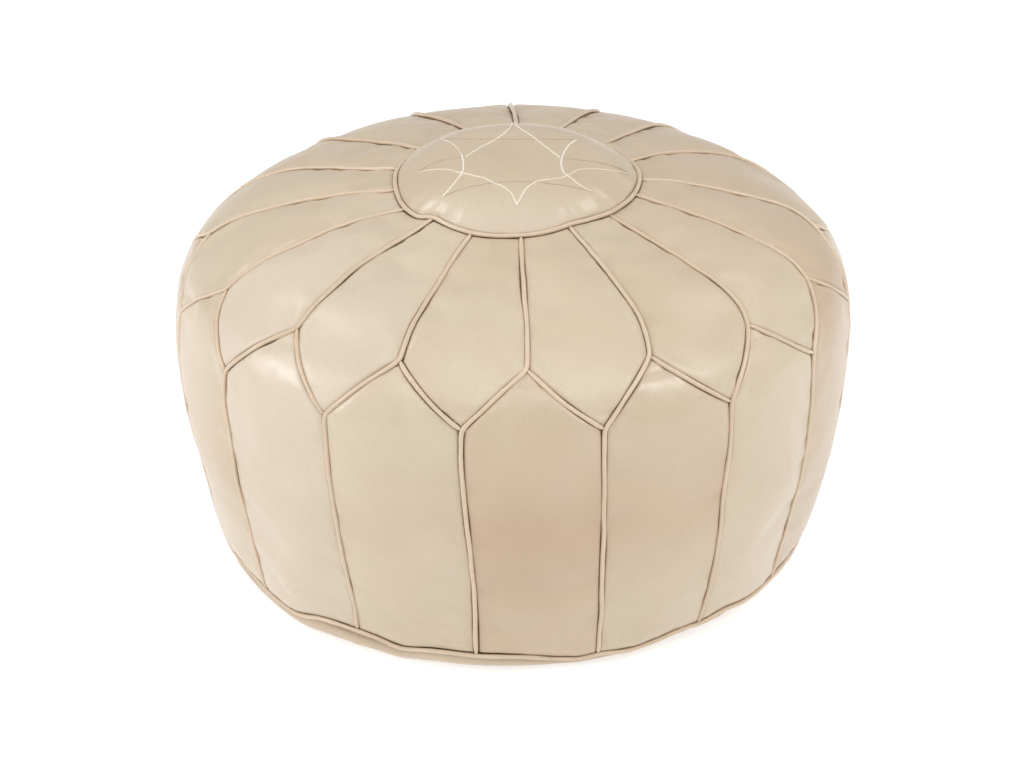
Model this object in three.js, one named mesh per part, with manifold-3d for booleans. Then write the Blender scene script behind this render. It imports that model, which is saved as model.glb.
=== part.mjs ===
// Round stitched leather pouf: a stuffed cushion seat about 55 cm across and 33 cm high.
// Units are millimetres, +Z is up, and the origin is on the floor under the middle of the pouf.
//
// The cover is sixteen pointed top panels (petals) round an embroidered medallion, sixteen
// side panels with pointed tops that fit between the petals' points, and a two-piece base
// that a zip closes. A piped welt lies in every seam. Inside are a cloth lining bag and the
// stuffing.

import * as THREE from "three";
import { mergeVertices } from "three/addons/utils/BufferGeometryUtils.js";
import Module from "manifold-3d";

const wasm = await Module();
wasm.setup();

// ---------------------------------------------------------------- driving dimensions
const SHOULDER_R = 245; // radius at the apex line, where the petals' sides turn into their points
const FLOOR_LIFT = 0.062; // height of the bottom seam over the floor, as a fraction of SHOULDER_R
const LEATHER = 1.6; // thickness of a leather panel
const WELT_R = 2.4; // radius of the piping in the seams
const WELT_SIDES = 6;
const SEAM_GAP = 2.9; // from a seam's centreline to the edge of the leather beside it
const EDGE_DIP = 1.3; // how far a panel's edge sinks into its seam
const MEDALLION_PUFF = 9.5; // how far the stuffed medallion stands over the cover's outline
const LINING_OFFSET = 6.0; // lining's outer face under the leather's outline
const LINING = 0.7; // lining cloth thickness
const FILL_GAP = 0.4; // lining to stuffing
const ROUND = 32; // facets round the lining and the stuffing
const LINING_FLOOR = 9.6; // underside of the lining over the floor

const ZIP_HALF = 170; // half the zip's length, along X
const CHANNEL_HALF_X = 190; // half the length of the shallow channel the zip lies in
const CHANNEL_HALF_Y = 14; // half the width of that channel
const CHANNEL_EDGE_Y = 5; // where the leather stops on each side of the zip
const CHANNEL_RISE = 4.3; // height of the leather's edge beside the zip
const SLIDER_X = 150; // slider's place with the zip closed; it travels to -SLIDER_X
const TAB_LENGTH = 24;

// The cover's outline, from the crown to the floor: radius and height over the bottom seam,
// as fractions of SHOULDER_R.
const OUTLINE = [
  [0, 1.262], [0.15, 1.256], [0.28, 1.238], [0.4179, 1.2049], [0.6, 1.163],
  [0.8, 1.108], [0.93, 1.062], [1.0, 1.0209], [1.06, 0.965], [1.0937, 0.91],
  [1.1147, 0.8535], [1.1225, 0.75], [1.122, 0.64], [1.1143, 0.5284],
  [1.1, 0.4], [1.0772, 0.2887], [1.045, 0.14], [1.0047, 0.0],
  [0.967, -0.05], [0.9, -0.062],
];

// The sixteen seams, hand sewn and so a little uneven. Each has the angle round the pouf, in
// degrees from the front towards +X, and the distance along the outline from the crown, as a
// fraction of SHOULDER_R, of the points it passes: where it leaves the medallion, a point
// half way, the apex where it splits, the petal point to its right, a point half way down
// the side, and the bottom seam.
const SEAMS = [
  { inner: [3.4, 0.437], mid: [2.7, 0.75], apex: [2.3, 1.032], tip: [14.25, 1.241], side: [14.4, 1.68], foot: [15.2, 2.123] },
  { inner: [26.5, 0.416], mid: [26.8, 0.75], apex: [24.8, 1.033], tip: [37.1, 1.249], side: [36.4, 1.68], foot: [35.9, 2.108] },
  { inner: [50.8, 0.41], mid: [50.1, 0.76], apex: [46.7, 1.043], tip: [58.9, 1.24], side: [58.3, 1.68], foot: [58.2, 2.114] },
  { inner: [76.2, 0.434], mid: [73.4, 0.76], apex: [70.0, 1.045], tip: [81.0, 1.247], side: [81.0, 1.68], foot: [81.0, 2.106] },
  { inner: [92.8, 0.43], mid: [95.8, 0.75], apex: [92.0, 1.03], tip: [106.0, 1.243], side: [106.0, 1.68], foot: [106.3, 2.112] },
  { inner: [114.0, 0.436], mid: [121.5, 0.76], apex: [119.5, 1.034], tip: [131.0, 1.24], side: [131.2, 1.68], foot: [131.0, 2.102] },
  { inner: [139.0, 0.446], mid: [144.6, 0.76], apex: [142.5, 1.04], tip: [152.4, 1.249], side: [152.0, 1.68], foot: [152.2, 2.116] },
  { inner: [162.5, 0.43], mid: [162.8, 0.76], apex: [162.0, 1.03], tip: [171.4, 1.241], side: [171.6, 1.68], foot: [171.2, 2.11] },
  { inner: [182.0, 0.424], mid: [181.4, 0.76], apex: [180.8, 1.036], tip: [191.2, 1.246], side: [191.0, 1.68], foot: [191.3, 2.1] },
  { inner: [205.0, 0.43], mid: [202.8, 0.76], apex: [201.5, 1.03], tip: [212.5, 1.24], side: [212.6, 1.68], foot: [212.2, 2.113] },
  { inner: [228.9, 0.412], mid: [223.8, 0.76], apex: [223.5, 1.038], tip: [235.6, 1.247], side: [235.4, 1.68], foot: [235.8, 2.106] },
  { inner: [253.8, 0.408], mid: [246.8, 0.76], apex: [248.0, 1.032], tip: [258.4, 1.242], side: [258.6, 1.68], foot: [258.4, 2.117] },
  { inner: [278.4, 0.41], mid: [270.0, 0.76], apex: [269.2, 1.045], tip: [281.4, 1.256], side: [281.6, 1.68], foot: [281.8, 2.104] },
  { inner: [300.7, 0.429], mid: [294.1, 0.77], apex: [293.6, 1.047], tip: [305.2, 1.26], side: [306.0, 1.68], foot: [304.6, 2.128] },
  { inner: [319.4, 0.407], mid: [316.4, 0.76], apex: [317.3, 1.023], tip: [328.45, 1.255], side: [330.0, 1.68], foot: [330.1, 2.088] },
  { inner: [341.5, 0.435], mid: [339.3, 0.76], apex: [339.8, 1.037], tip: [351.7, 1.231], side: [353.0, 1.68], foot: [353.1, 2.096] },
];
const N = SEAMS.length;

// ---------------------------------------------------------------- the cover's surface
const DEG = Math.PI / 180;
const outline = OUTLINE.map(([r, z]) => [r * SHOULDER_R, (z + FLOOR_LIFT) * SHOULDER_R]);
const along = [0];
for (let i = 1; i < outline.length; i++)
  along.push(along[i - 1] + Math.hypot(outline[i][0] - outline[i - 1][0], outline[i][1] - outline[i - 1][1]));

// Tangents of a cubic through the outline's points.
const slope = outline.map((p, i) => {
  const a = Math.max(0, i - 1), b = Math.min(outline.length - 1, i + 1);
  if (i === 0) return [1, 0];
  return [0, 1].map((c) => (outline[b][c] - outline[a][c]) / (along[b] - along[a]));
});
function section(s) {
  let i = 0;
  while (i < along.length - 2 && s > along[i + 1]) i++;
  const h = along[i + 1] - along[i], t = Math.min(1, Math.max(0, (s - along[i]) / h));
  const a = 2 * t ** 3 - 3 * t ** 2 + 1, b = t ** 3 - 2 * t ** 2 + t, c = -2 * t ** 3 + 3 * t ** 2, d = t ** 3 - t ** 2;
  return [0, 1].map((k) => a * outline[i][k] + b * h * slope[i][k] + c * outline[i + 1][k] + d * h * slope[i + 1][k]);
}
function normal2(s) {
  const p = section(Math.max(0, s - 0.5)), q = section(s + 0.5);
  const l = Math.hypot(q[0] - p[0], q[1] - p[1]);
  return [-(q[1] - p[1]) / l, (q[0] - p[0]) / l];
}
// Point of the cover at angle az (radians, 0 is -Y, towards +X), distance s from the crown
// along the outline, lifted off it by off.
function onCover(az, s, off = 0) {
  const [r, z] = section(s), [nr, nz] = normal2(s);
  const R = r + nr * off;
  return new THREE.Vector3(R * Math.sin(az), -R * Math.cos(az), z + nz * off);
}
function coverNormal(az, s) {
  const [nr, nz] = normal2(s);
  return new THREE.Vector3(nr * Math.sin(az), -nr * Math.cos(az), nz);
}

const seams = SEAMS.map((k) => {
  const o = {};
  for (const key of Object.keys(k)) o[key] = [k[key][0] * DEG, k[key][1] * SHOULDER_R];
  return o;
});
const seam = (k) => {
  const turn = Math.floor(k / N) * 2 * Math.PI, base = seams[((k % N) + N) % N], o = {};
  for (const key of Object.keys(base)) o[key] = [base[key][0] + turn, base[key][1]];
  return o;
};
// A closed line round the pouf through one point of every seam.
function ringLine(key) {
  const list = [];
  for (let k = -2; k < N + 3; k++) list.push(seam(k)[key]);
  return (az) => {
    let a = az;
    while (a < seams[0][key][0]) a += 2 * Math.PI;
    while (a >= seams[0][key][0] + 2 * Math.PI) a -= 2 * Math.PI;
    let i = 1;
    while (i < list.length - 3 && a >= list[i + 1][0]) i++;
    const [a0, s0] = list[i - 1], [a1, s1] = list[i], [a2, s2] = list[i + 1], [a3, s3] = list[i + 2];
    const h = a2 - a1, t = (a - a1) / h;
    const m1 = ((s2 - s0) / (a2 - a0)) * h, m2 = ((s3 - s1) / (a3 - a1)) * h;
    return (2 * t ** 3 - 3 * t ** 2 + 1) * s1 + (t ** 3 - 2 * t ** 2 + t) * m1 + (-2 * t ** 3 + 3 * t ** 2) * s2 + (t ** 3 - t ** 2) * m2;
  };
}
const medallionLine = ringLine("inner");
const footLine = ringLine("foot");

// ---------------------------------------------------------------- mesh helpers
function geometryOf(points, faces) {
  const g = new THREE.BufferGeometry();
  g.setAttribute("position", new THREE.Float32BufferAttribute(points.flatMap((p) => [p.x, p.y, p.z]), 3));
  g.setIndex(faces.flat());
  return g;
}
function toSolid(geometry) {
  const g = geometry.clone();
  for (const n of Object.keys(g.attributes)) if (n !== "position") g.deleteAttribute(n);
  const m = mergeVertices(g, 1e-4);
  return new wasm.Manifold(new wasm.Mesh({ numProp: 3, vertProperties: m.attributes.position.array, triVerts: new Uint32Array(m.index.array) }));
}
function fromSolid(solid) {
  const m = solid.getMesh();
  const g = new THREE.BufferGeometry();
  const n = m.vertProperties.length / m.numProp, pos = new Float32Array(n * 3);
  for (let i = 0; i < n; i++) for (let c = 0; c < 3; c++) pos[i * 3 + c] = m.vertProperties[i * m.numProp + c];
  g.setAttribute("position", new THREE.BufferAttribute(pos, 3));
  g.setIndex([...m.triVerts]);
  return g;
}
function boxSolid(x0, x1, y0, y1, z0, z1) {
  const g = new THREE.BoxGeometry(x1 - x0, y1 - y0, z1 - z0);
  g.translate((x0 + x1) / 2, (y0 + y1) / 2, (z0 + z1) / 2);
  return toSolid(g);
}

// Thin shell over a grid of (angle, distance) places: rows[i][j], where a row of one place is
// a point that the neighbouring row fans to. The outer face is lifted by lift(u, v).
function shell(rows, lift, thick) {
  const points = [], faces = [];
  const top = [], bottom = [];
  const last = rows.length - 1;
  rows.forEach((row, i) => {
    const a = [], b = [];
    row.forEach(([az, s], j) => {
      const off = lift(row.length > 1 ? j / (row.length - 1) : 0.5, i / last);
      a.push(points.push(onCover(az, s, off)) - 1);
      b.push(points.push(onCover(az, s, off - thick)) - 1);
    });
    top.push(a);
    bottom.push(b);
  });
  const skin = (g, flip) => {
    const add = (a, b, c) => faces.push(flip ? [a, c, b] : [a, b, c]);
    for (let i = 0; i < last; i++) {
      const p = g[i], q = g[i + 1];
      if (p.length === 1) for (let j = 0; j < q.length - 1; j++) add(p[0], q[j], q[j + 1]);
      else if (q.length === 1) for (let j = 0; j < p.length - 1; j++) add(p[j], q[0], p[j + 1]);
      else
        for (let j = 0; j < p.length - 1; j++) {
          add(p[j], q[j], q[j + 1]);
          add(p[j], q[j + 1], p[j + 1]);
        }
    }
  };
  skin(top, false);
  skin(bottom, true);
  // the rim, once round the panel's edge
  const loop = [];
  for (let i = 0; i <= last; i++) loop.push([top[i][0], bottom[i][0]]);
  for (let j = 1; j < top[last].length; j++) loop.push([top[last][j], bottom[last][j]]);
  for (let i = last - 1; i >= 0; i--) if (top[i].length > 1 || i === 0) { const e = top[i].length - 1; if (e > 0) loop.push([top[i][e], bottom[i][e]]); }
  for (let j = top[0].length - 2; j > 0; j--) loop.push([top[0][j], bottom[0][j]]);
  for (let i = 0; i < loop.length; i++) {
    const [a, b] = loop[i], [c, d] = loop[(i + 1) % loop.length];
    faces.push([a, b, d], [a, d, c]);
  }
  return geometryOf(points, faces);
}

// Moves the edges of a closed outline of (angle, distance) places inwards, so that each edge
// stays SEAM_GAP from its seam. The outline runs anticlockwise seen from outside.
function inset(loop, gap) {
  const n = loop.length;
  return loop.map((p, i) => {
    const a = loop[(i + n - 1) % n], b = loop[(i + 1) % n], r = section(p[1])[0];
    // local axes: x to the right seen from outside, y up, so that distance from the crown is -y
    const d1 = [(p[0] - a[0]) * r, -(p[1] - a[1])], d2 = [(b[0] - p[0]) * r, -(b[1] - p[1])];
    const l1 = Math.hypot(...d1), l2 = Math.hypot(...d2);
    const n1 = [-d1[1] / l1, d1[0] / l1], n2 = [-d2[1] / l2, d2[0] / l2];
    const k = gap / (1 + n1[0] * n2[0] + n1[1] * n2[1]);
    return [p[0] + ((n1[0] + n2[0]) * k) / r, p[1] - (n1[1] + n2[1]) * k];
  });
}
const mix = (p, q, t) => [p[0] + (q[0] - p[0]) * t, p[1] + (q[1] - p[1]) * t];
// A chain through the given places, each stretch cut into the given number of steps.
function chain(places, steps) {
  const out = [places[0]];
  for (let i = 1; i < places.length; i++) for (let k = 1; k <= steps[i - 1]; k++) out.push(mix(places[i - 1], places[i], k / steps[i - 1]));
  return out;
}
const across = (l, r, cols) => Array.from({ length: cols + 1 }, (_, j) => mix(l, r, j / cols));
const pillow = (u) => -EDGE_DIP + EDGE_DIP * (1 - (2 * u - 1) ** 2);

// Petal k lies between seams k and k + 1 and ends in the point at seam k's tip.
function petalPanel(k) {
  const a = seam(k), b = seam(k + 1);
  const loop = [a.inner, a.mid, a.apex, a.tip, b.apex, b.mid, b.inner];
  const e = inset(loop, SEAM_GAP);
  const left = chain([e[0], e[1], e[2], e[3]], [2, 3, 2]);
  const right = chain([e[6], e[5], e[4], e[3]], [2, 3, 2]);
  const rows = left.map((l, i) => (i === left.length - 1 ? [l] : across(l, right[i], 3)));
  rows[0] = rows[0].map(([az]) => [az, medallionLine(az) + SEAM_GAP + 0.2]);
  return shell(rows, (u, v) => pillow(u) * (1 - 0.3 * v), LEATHER);
}

// Side panel k stands under the apex of seam k, between the sides of seams k - 1 and k.
function sidePanel(k) {
  const z = seam(k - 1), a = seam(k);
  const loop = [a.apex, z.tip, z.side, z.foot, a.foot, a.side, a.tip];
  const e = inset(loop, SEAM_GAP);
  const left = chain([e[0], e[1], e[2], e[3]], [2, 3, 2]);
  const right = chain([e[0], e[6], e[5], e[4]], [2, 3, 2]);
  const rows = left.map((l, i) => (i === 0 ? [l] : across(l, right[i], 3)));
  const last = rows.length - 1;
  rows[last] = rows[last].map(([az]) => [az, footLine(az) - SEAM_GAP - 0.2]);
  return shell(rows, (u) => pillow(u), LEATHER);
}

// A welt along a line of (angle, distance) places, as a tube that follows the cover.
function tube(path, radius, closed = false, sides = WELT_SIDES, lift = -0.9) {
  const points = [], faces = [], n = path.length;
  const pts = path.map(([az, s]) => onCover(az, s, lift));
  path.forEach(([az, s], i) => {
    const a = pts[closed ? (i + n - 1) % n : Math.max(0, i - 1)], b = pts[closed ? (i + 1) % n : Math.min(n - 1, i + 1)];
    const t = b.clone().sub(a).normalize(), up = coverNormal(az, s);
    const side = new THREE.Vector3().crossVectors(t, up).normalize(), lid = new THREE.Vector3().crossVectors(t, side).normalize();
    for (let j = 0; j < sides; j++) {
      const w = ((j + 0.5) / sides) * 2 * Math.PI;
      points.push(pts[i].clone().addScaledVector(side, radius * Math.cos(w)).addScaledVector(lid, radius * Math.sin(w)));
    }
  });
  const rings = closed ? n : n - 1;
  for (let i = 0; i < rings; i++)
    for (let j = 0; j < sides; j++) {
      const a = i * sides + j, b = i * sides + ((j + 1) % sides), c = ((i + 1) % n) * sides + j, d = ((i + 1) % n) * sides + ((j + 1) % sides);
      faces.push([a, b, d], [a, d, c]);
    }
  if (!closed) {
    const s = points.push(pts[0].clone()) - 1, e = points.push(pts[n - 1].clone()) - 1, z = (n - 1) * sides;
    for (let j = 0; j < sides; j++) {
      faces.push([s, (j + 1) % sides, j]);
      faces.push([e, z + j, z + ((j + 1) % sides)]);
    }
  }
  return geometryOf(points, faces);
}
// Shortens the end of a line by a distance in millimetres.
function trimmed(path, length) {
  const p = path[path.length - 2], q = path[path.length - 1], r = section(q[1])[0];
  const l = Math.hypot((q[0] - p[0]) * r, q[1] - p[1]);
  return [...path.slice(0, -1), mix(p, q, 1 - length / l)];
}
// The welt of seam k: one long run down from the medallion to the apex, along the left-hand side
// of the petal point to its tip and down the side of the pouf, and a short run from the apex
// along the right-hand side, which ends against the next seam's long run.
function seamPiping(k) {
  const a = seam(k), z = seam(k - 1);
  const start = [a.inner[0], medallionLine(a.inner[0]) + WELT_R + 0.9];
  const end = [z.foot[0], footLine(z.foot[0]) - WELT_R - 0.9];
  const long = chain([start, a.mid, a.apex, z.tip, z.side, end], [2, 3, 2, 3, 2]);
  const short = trimmed(chain([a.apex, a.tip], [2]), WELT_R + 0.9);
  return fromSolid(toSolid(tube(long, WELT_R)).add(toSolid(tube(short, WELT_R))));
}
function ringPiping(line, count, lift) {
  const path = Array.from({ length: count }, (_, i) => { const az = (i / count) * 2 * Math.PI; return [az, line(az)]; });
  return tube(path, WELT_R, true, WELT_SIDES, lift);
}

// ---------------------------------------------------------------- medallion and star
const puff = (az, s) => MEDALLION_PUFF * (1 - Math.min(1, s / medallionLine(az)) ** 4);
function medallion() {
  const around = 32, rings = [0.28, 0.52, 0.72, 0.88, 1];
  const points = [onCover(0, 0, 0), onCover(0, 0, 0)];
  points[0].z += MEDALLION_PUFF;
  points[1].z += MEDALLION_PUFF - LEATHER;
  const faces = [], id = (side, i, j) => 2 + side * rings.length * around + i * around + (j % around);
  for (const side of [0, 1])
    rings.forEach((f) => {
      for (let j = 0; j < around; j++) {
        const az = (j / around) * 2 * Math.PI, edge = medallionLine(az) - SEAM_GAP;
        const s = f * edge, dip = -0.9 * f ** 8;
        points.push(onCover(az, s, puff(az, s) + dip - side * LEATHER));
      }
    });
  for (const side of [0, 1]) {
    const add = (a, b, c) => faces.push(side ? [a, c, b] : [a, b, c]);
    for (let j = 0; j < around; j++) {
      add(side, id(side, 0, j), id(side, 0, j + 1));
      for (let i = 0; i < rings.length - 1; i++) {
        add(id(side, i, j), id(side, i + 1, j), id(side, i + 1, j + 1));
        add(id(side, i, j), id(side, i + 1, j + 1), id(side, i, j + 1));
      }
    }
  }
  const e = rings.length - 1;
  for (let j = 0; j < around; j++) {
    faces.push([id(0, e, j), id(1, e, j), id(1, e, j + 1)], [id(0, e, j), id(1, e, j + 1), id(0, e, j + 1)]);
  }
  return geometryOf(points, faces);
}
// Two four-pointed squares with bowed-in sides, turned 45 degrees to each other: one raised
// line of silk thread.
function starLoop(turn) {
  const R = 0.315 * SHOULDER_R, path = [], steps = 4;
  for (let q = 0; q < 4; q++) {
    const a = turn + q * 90 * DEG, p = [R * Math.sin(a), -R * Math.cos(a)], r = [R * Math.sin(a + 90 * DEG), -R * Math.cos(a + 90 * DEG)];
    for (let i = 0; i < steps; i++) {
      const t = i / steps, bow = 0.2 * R * 4 * t * (1 - t), m = a + 45 * DEG;
      path.push([p[0] + (r[0] - p[0]) * t - bow * Math.sin(m), p[1] + (r[1] - p[1]) * t + bow * Math.cos(m)]);
    }
  }
  const points = [], faces = [], n = path.length, w = 0.8;
  path.forEach(([x, y], i) => {
    const [ax, ay] = path[(i + n - 1) % n], [bx, by] = path[(i + 1) % n];
    const l = Math.hypot(bx - ax, by - ay), sx = -(by - ay) / l, sy = (bx - ax) / l;
    for (const [o, h] of [[-w, 0.8], [w, 0.8], [w, 1.7], [-w, 1.7]]) {
      const X = x + sx * o, Y = y + sy * o, az = Math.atan2(X, -Y), s = Math.hypot(X, Y) * 1.0012;
      points.push(onCover(az, s, puff((az + 2 * Math.PI) % (2 * Math.PI), s) + h));
    }
  });
  for (let i = 0; i < n; i++)
    for (let j = 0; j < 4; j++) {
      const a = i * 4 + j, b = i * 4 + ((j + 1) % 4), c = ((i + 1) % n) * 4 + j, d = ((i + 1) % n) * 4 + ((j + 1) % 4);
      faces.push([a, b, d], [a, d, c]);
    }
  return geometryOf(points, faces);
}

// ---------------------------------------------------------------- lining and stuffing
function bagProfile(off, floorZ) {
  const list = [0, 0.2, 0.4232, 0.66, 0.86, 1.0, 1.12, 1.26, 1.46, 1.7, 1.92, 2.1096].map((f) => {
    const s = f * SHOULDER_R, [r, z] = section(s), [nr, nz] = normal2(s);
    return [Math.max(0, r - nr * off), z - nz * off];
  });
  list[0][0] = 0;
  const foot = list[list.length - 1];
  list.push([foot[0] - 9, floorZ], [0, floorZ]);
  return list;
}
function turned(list) {
  // from the lowest point on the axis up to the crown
  const pts = [...list].reverse().map(([r, z]) => new THREE.Vector2(r, z));
  const g = new THREE.LatheGeometry(pts, ROUND);
  g.rotateX(Math.PI / 2);
  return toSolid(g);
}
const liningOuter = turned(bagProfile(LINING_OFFSET, LINING_FLOOR));
const liningInner = turned(bagProfile(LINING_OFFSET + LINING, LINING_FLOOR + LINING));
const lining = liningOuter.subtract(liningInner).subtract(boxSolid(-140, 140, -4, 4, LINING_FLOOR - 1, LINING_FLOOR + LINING + 0.2));
const stuffing = turned(bagProfile(LINING_OFFSET + LINING + FILL_GAP, LINING_FLOOR + LINING + FILL_GAP));

// ---------------------------------------------------------------- base
function baseDisc() {
  const around = 48, points = [], faces = [];
  // rings from the bottom seam's edge inwards, flat on the floor from the last one
  const ringAt = (az) => {
    const edge = footLine(az) + SEAM_GAP + 0.2, flat = along[along.length - 1];
    return [edge, edge + (flat - edge) * 0.4, edge + (flat - edge) * 0.72, flat];
  };
  const rings = 4;
  for (const side of [0, 1])
    for (let i = 0; i < rings; i++)
      for (let j = 0; j < around; j++) {
        const az = (j / around) * 2 * Math.PI, s = ringAt(az)[i], [r, z] = section(s);
        const flat = i === rings - 1, [nr, nz] = flat ? [0, -1] : normal2(s);
        const R = r - side * LEATHER * nr, Z = (flat ? 0 : Math.max(0, z)) - side * LEATHER * nz;
        points.push(new THREE.Vector3(R * Math.sin(az), -R * Math.cos(az), Z));
      }
  const c0 = points.push(new THREE.Vector3(0, 0, 0)) - 1, c1 = points.push(new THREE.Vector3(0, 0, LEATHER)) - 1;
  const id = (side, i, j) => side * rings * around + i * around + (j % around);
  for (let j = 0; j < around; j++) {
    for (const side of [0, 1]) {
      const add = (a, b, c) => faces.push(side ? [a, c, b] : [a, b, c]);
      for (let i = 0; i < rings - 1; i++) {
        add(id(side, i, j), id(side, i + 1, j), id(side, i + 1, j + 1));
        add(id(side, i, j), id(side, i + 1, j + 1), id(side, i, j + 1));
      }
      add(id(side, rings - 1, j), side ? c1 : c0, id(side, rings - 1, j + 1));
    }
    faces.push([id(0, 0, j), id(0, 0, j + 1), id(1, 0, j + 1)], [id(0, 0, j), id(1, 0, j + 1), id(1, 0, j)]);
  }
  return geometryOf(points, faces);
}
// The leather's folded edge beside the zip, for the half at +Y.
function zipEdge() {
  const s = new THREE.Shape(
    [[15, 0], [15, 1.6], [10, 5.9], [CHANNEL_EDGE_Y, 5.9], [CHANNEL_EDGE_Y, CHANNEL_RISE], [9.3, CHANNEL_RISE], [CHANNEL_HALF_Y, 0]].map(([y, z]) => new THREE.Vector2(y, z)),
  );
  const g = new THREE.ExtrudeGeometry(s, { depth: 2 * CHANNEL_HALF_X + 0.8, bevelEnabled: false });
  // the outline's first axis becomes +Y, its second +Z, and the extrusion runs along +X
  g.applyMatrix4(new THREE.Matrix4().makeBasis(new THREE.Vector3(0, 1, 0), new THREE.Vector3(0, 0, 1), new THREE.Vector3(1, 0, 0)));
  g.translate(-CHANNEL_HALF_X - 0.4, 0, 0);
  return toSolid(g);
}
function baseHalf(sign) {
  const disc = toSolid(baseDisc());
  const half = sign > 0 ? boxSolid(-400, 400, 0.15, 400, -50, 50) : boxSolid(-400, 400, -400, -0.15, -50, 50);
  let body = disc.intersect(half).subtract(boxSolid(-CHANNEL_HALF_X, CHANNEL_HALF_X, -CHANNEL_HALF_Y, CHANNEL_HALF_Y, -5, 20));
  let edge = zipEdge();
  // the channel's closed ends
  for (const x of [-1, 1]) edge = edge.add(boxSolid(Math.min(x * CHANNEL_HALF_X, x * (CHANNEL_HALF_X + 1.6)), Math.max(x * CHANNEL_HALF_X, x * (CHANNEL_HALF_X + 1.6)), 0.15, CHANNEL_HALF_Y, 0, 5.9));
  if (sign < 0) edge = edge.mirror([0, 1, 0]);
  return fromSolid(body.add(edge));
}

// ---------------------------------------------------------------- zip
function zipTape(sign) {
  // cloth tape with the coil of teeth along its inner edge
  const s = new THREE.Shape(
    [[0.75, 5.9], [1.2, 5.4], [2.4, 5.4], [2.9, 5.9], [2.9, 6.2], [13.4, 6.2], [13.4, 6.8], [2.9, 6.8], [2.9, 7.1], [2.4, 7.6], [1.2, 7.6], [0.75, 7.1]].map(([y, z]) => new THREE.Vector2(y, z)),
  );
  const g = new THREE.ExtrudeGeometry(s, { depth: 2 * ZIP_HALF, bevelEnabled: false });
  g.applyMatrix4(new THREE.Matrix4().makeBasis(new THREE.Vector3(0, 1, 0), new THREE.Vector3(0, 0, 1), new THREE.Vector3(1, 0, 0)));
  g.translate(-ZIP_HALF, 0, 0);
  let solid = toSolid(g);
  if (sign < 0) solid = solid.mirror([0, 1, 0]);
  return fromSolid(solid);
}
function plate(outlinePoints, z0, z1, hole) {
  const s = new THREE.Shape(outlinePoints.map(([x, y]) => new THREE.Vector2(x, y)));
  for (const h of hole || []) s.holes.push(new THREE.Path(h.map(([x, y]) => new THREE.Vector2(x, y))));
  const g = new THREE.ExtrudeGeometry(s, { depth: z1 - z0, bevelEnabled: false });
  g.translate(0, 0, z0);
  return toSolid(g);
}
function slider() {
  // an outer plate, an inner plate, the post between the two rows of teeth and the bridge that
  // holds the pull tab
  const shape = [[-7.5, -2.6], [-5.5, -3.5], [2, -4.2], [6.4, -4.2], [8, -2.4], [8, 2.4], [6.4, 4.2], [2, 4.2], [-5.5, 3.5], [-7.5, 2.6]];
  let body = plate(shape, 3.6, 5.0).add(plate(shape, 8.0, 9.0)).add(boxSolid(4.6, 7.4, -0.4, 0.4, 4.8, 8.2));
  body = body.add(boxSolid(-4.2, -3.0, -1, 1, 0.8, 3.8)).add(boxSolid(3.0, 4.2, -1, 1, 0.8, 3.8)).add(boxSolid(-4.2, 4.2, -1, 1, 0.8, 1.6));
  return fromSolid(body);
}
function pullTab() {
  const L = TAB_LENGTH;
  const outer = [[0.5, -2.9], [0.5, 2.9], [-7, 2.9], [-10, 3.4], [-L + 3, 3.8], [-L + 0.8, 2.9], [-L, 1.2], [-L, -1.2], [-L + 0.8, -2.9], [-L + 3, -3.8], [-10, -3.4], [-7, -2.9]];
  const eye = [[-0.5, -1.7], [-0.5, 1.7], [-5.4, 1.7], [-5.4, -1.7]];
  const hole = Array.from({ length: 8 }, (_, i) => [-L + 4.2 + 1.5 * Math.cos((i / 8) * 2 * Math.PI), 1.5 * Math.sin((i / 8) * 2 * Math.PI)]);
  return fromSolid(plate(outer, 2.0, 3.0, [eye, hole]));
}

// ---------------------------------------------------------------- materials
const material = (color, roughness, metalness = 0) => new THREE.MeshStandardMaterial({ color, roughness, metalness });
const LEATHER_CREAM = 0xdcc9ac, WELT_CREAM = 0xe6d3ba, SILK = 0xf6f1e8, CLOTH = 0xd8cdb8, STUFFING = 0xf0ece2, BRASS = 0xb08d4c, TAPE = 0xcbb892;

const pouf = new THREE.Group();
pouf.name = "pouf";
function part(name, geometry, mat, group = pouf) {
  const mesh = new THREE.Mesh(geometry, mat);
  mesh.name = name;
  geometry.computeVertexNormals();
  group.add(mesh);
  return mesh;
}
const two = (k) => String(k + 1).padStart(2, "0");

const cover = new THREE.Group();
pouf.add(cover);
part("medallion_panel", medallion(), material(LEATHER_CREAM, 0.4), cover);
for (let k = 0; k < N; k++) {
  part("petal_panel_" + two(k), petalPanel(k), material(LEATHER_CREAM, 0.4), cover);
  part("side_panel_" + two(k), sidePanel(k), material(LEATHER_CREAM, 0.4), cover);
  part("seam_piping_" + two(k), seamPiping(k), material(WELT_CREAM, 0.45), cover);
}
part("medallion_piping", ringPiping(medallionLine, 32, -0.6), material(WELT_CREAM, 0.45), cover);
part("base_piping", ringPiping(footLine, 48, -0.9), material(WELT_CREAM, 0.45), cover);
part("base_panel_left", baseHalf(-1), material(LEATHER_CREAM, 0.45), cover);
part("base_panel_right", baseHalf(1), material(LEATHER_CREAM, 0.45), cover);
part("star_embroidery", fromSolid(toSolid(starLoop(2 * DEG)).add(toSolid(starLoop(47 * DEG)))), material(SILK, 0.5), cover);

const inside = new THREE.Group();
pouf.add(inside);
part("lining_bag", fromSolid(lining), material(CLOTH, 0.9), inside);
part("stuffing", fromSolid(stuffing), material(STUFFING, 0.95), inside);

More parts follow.
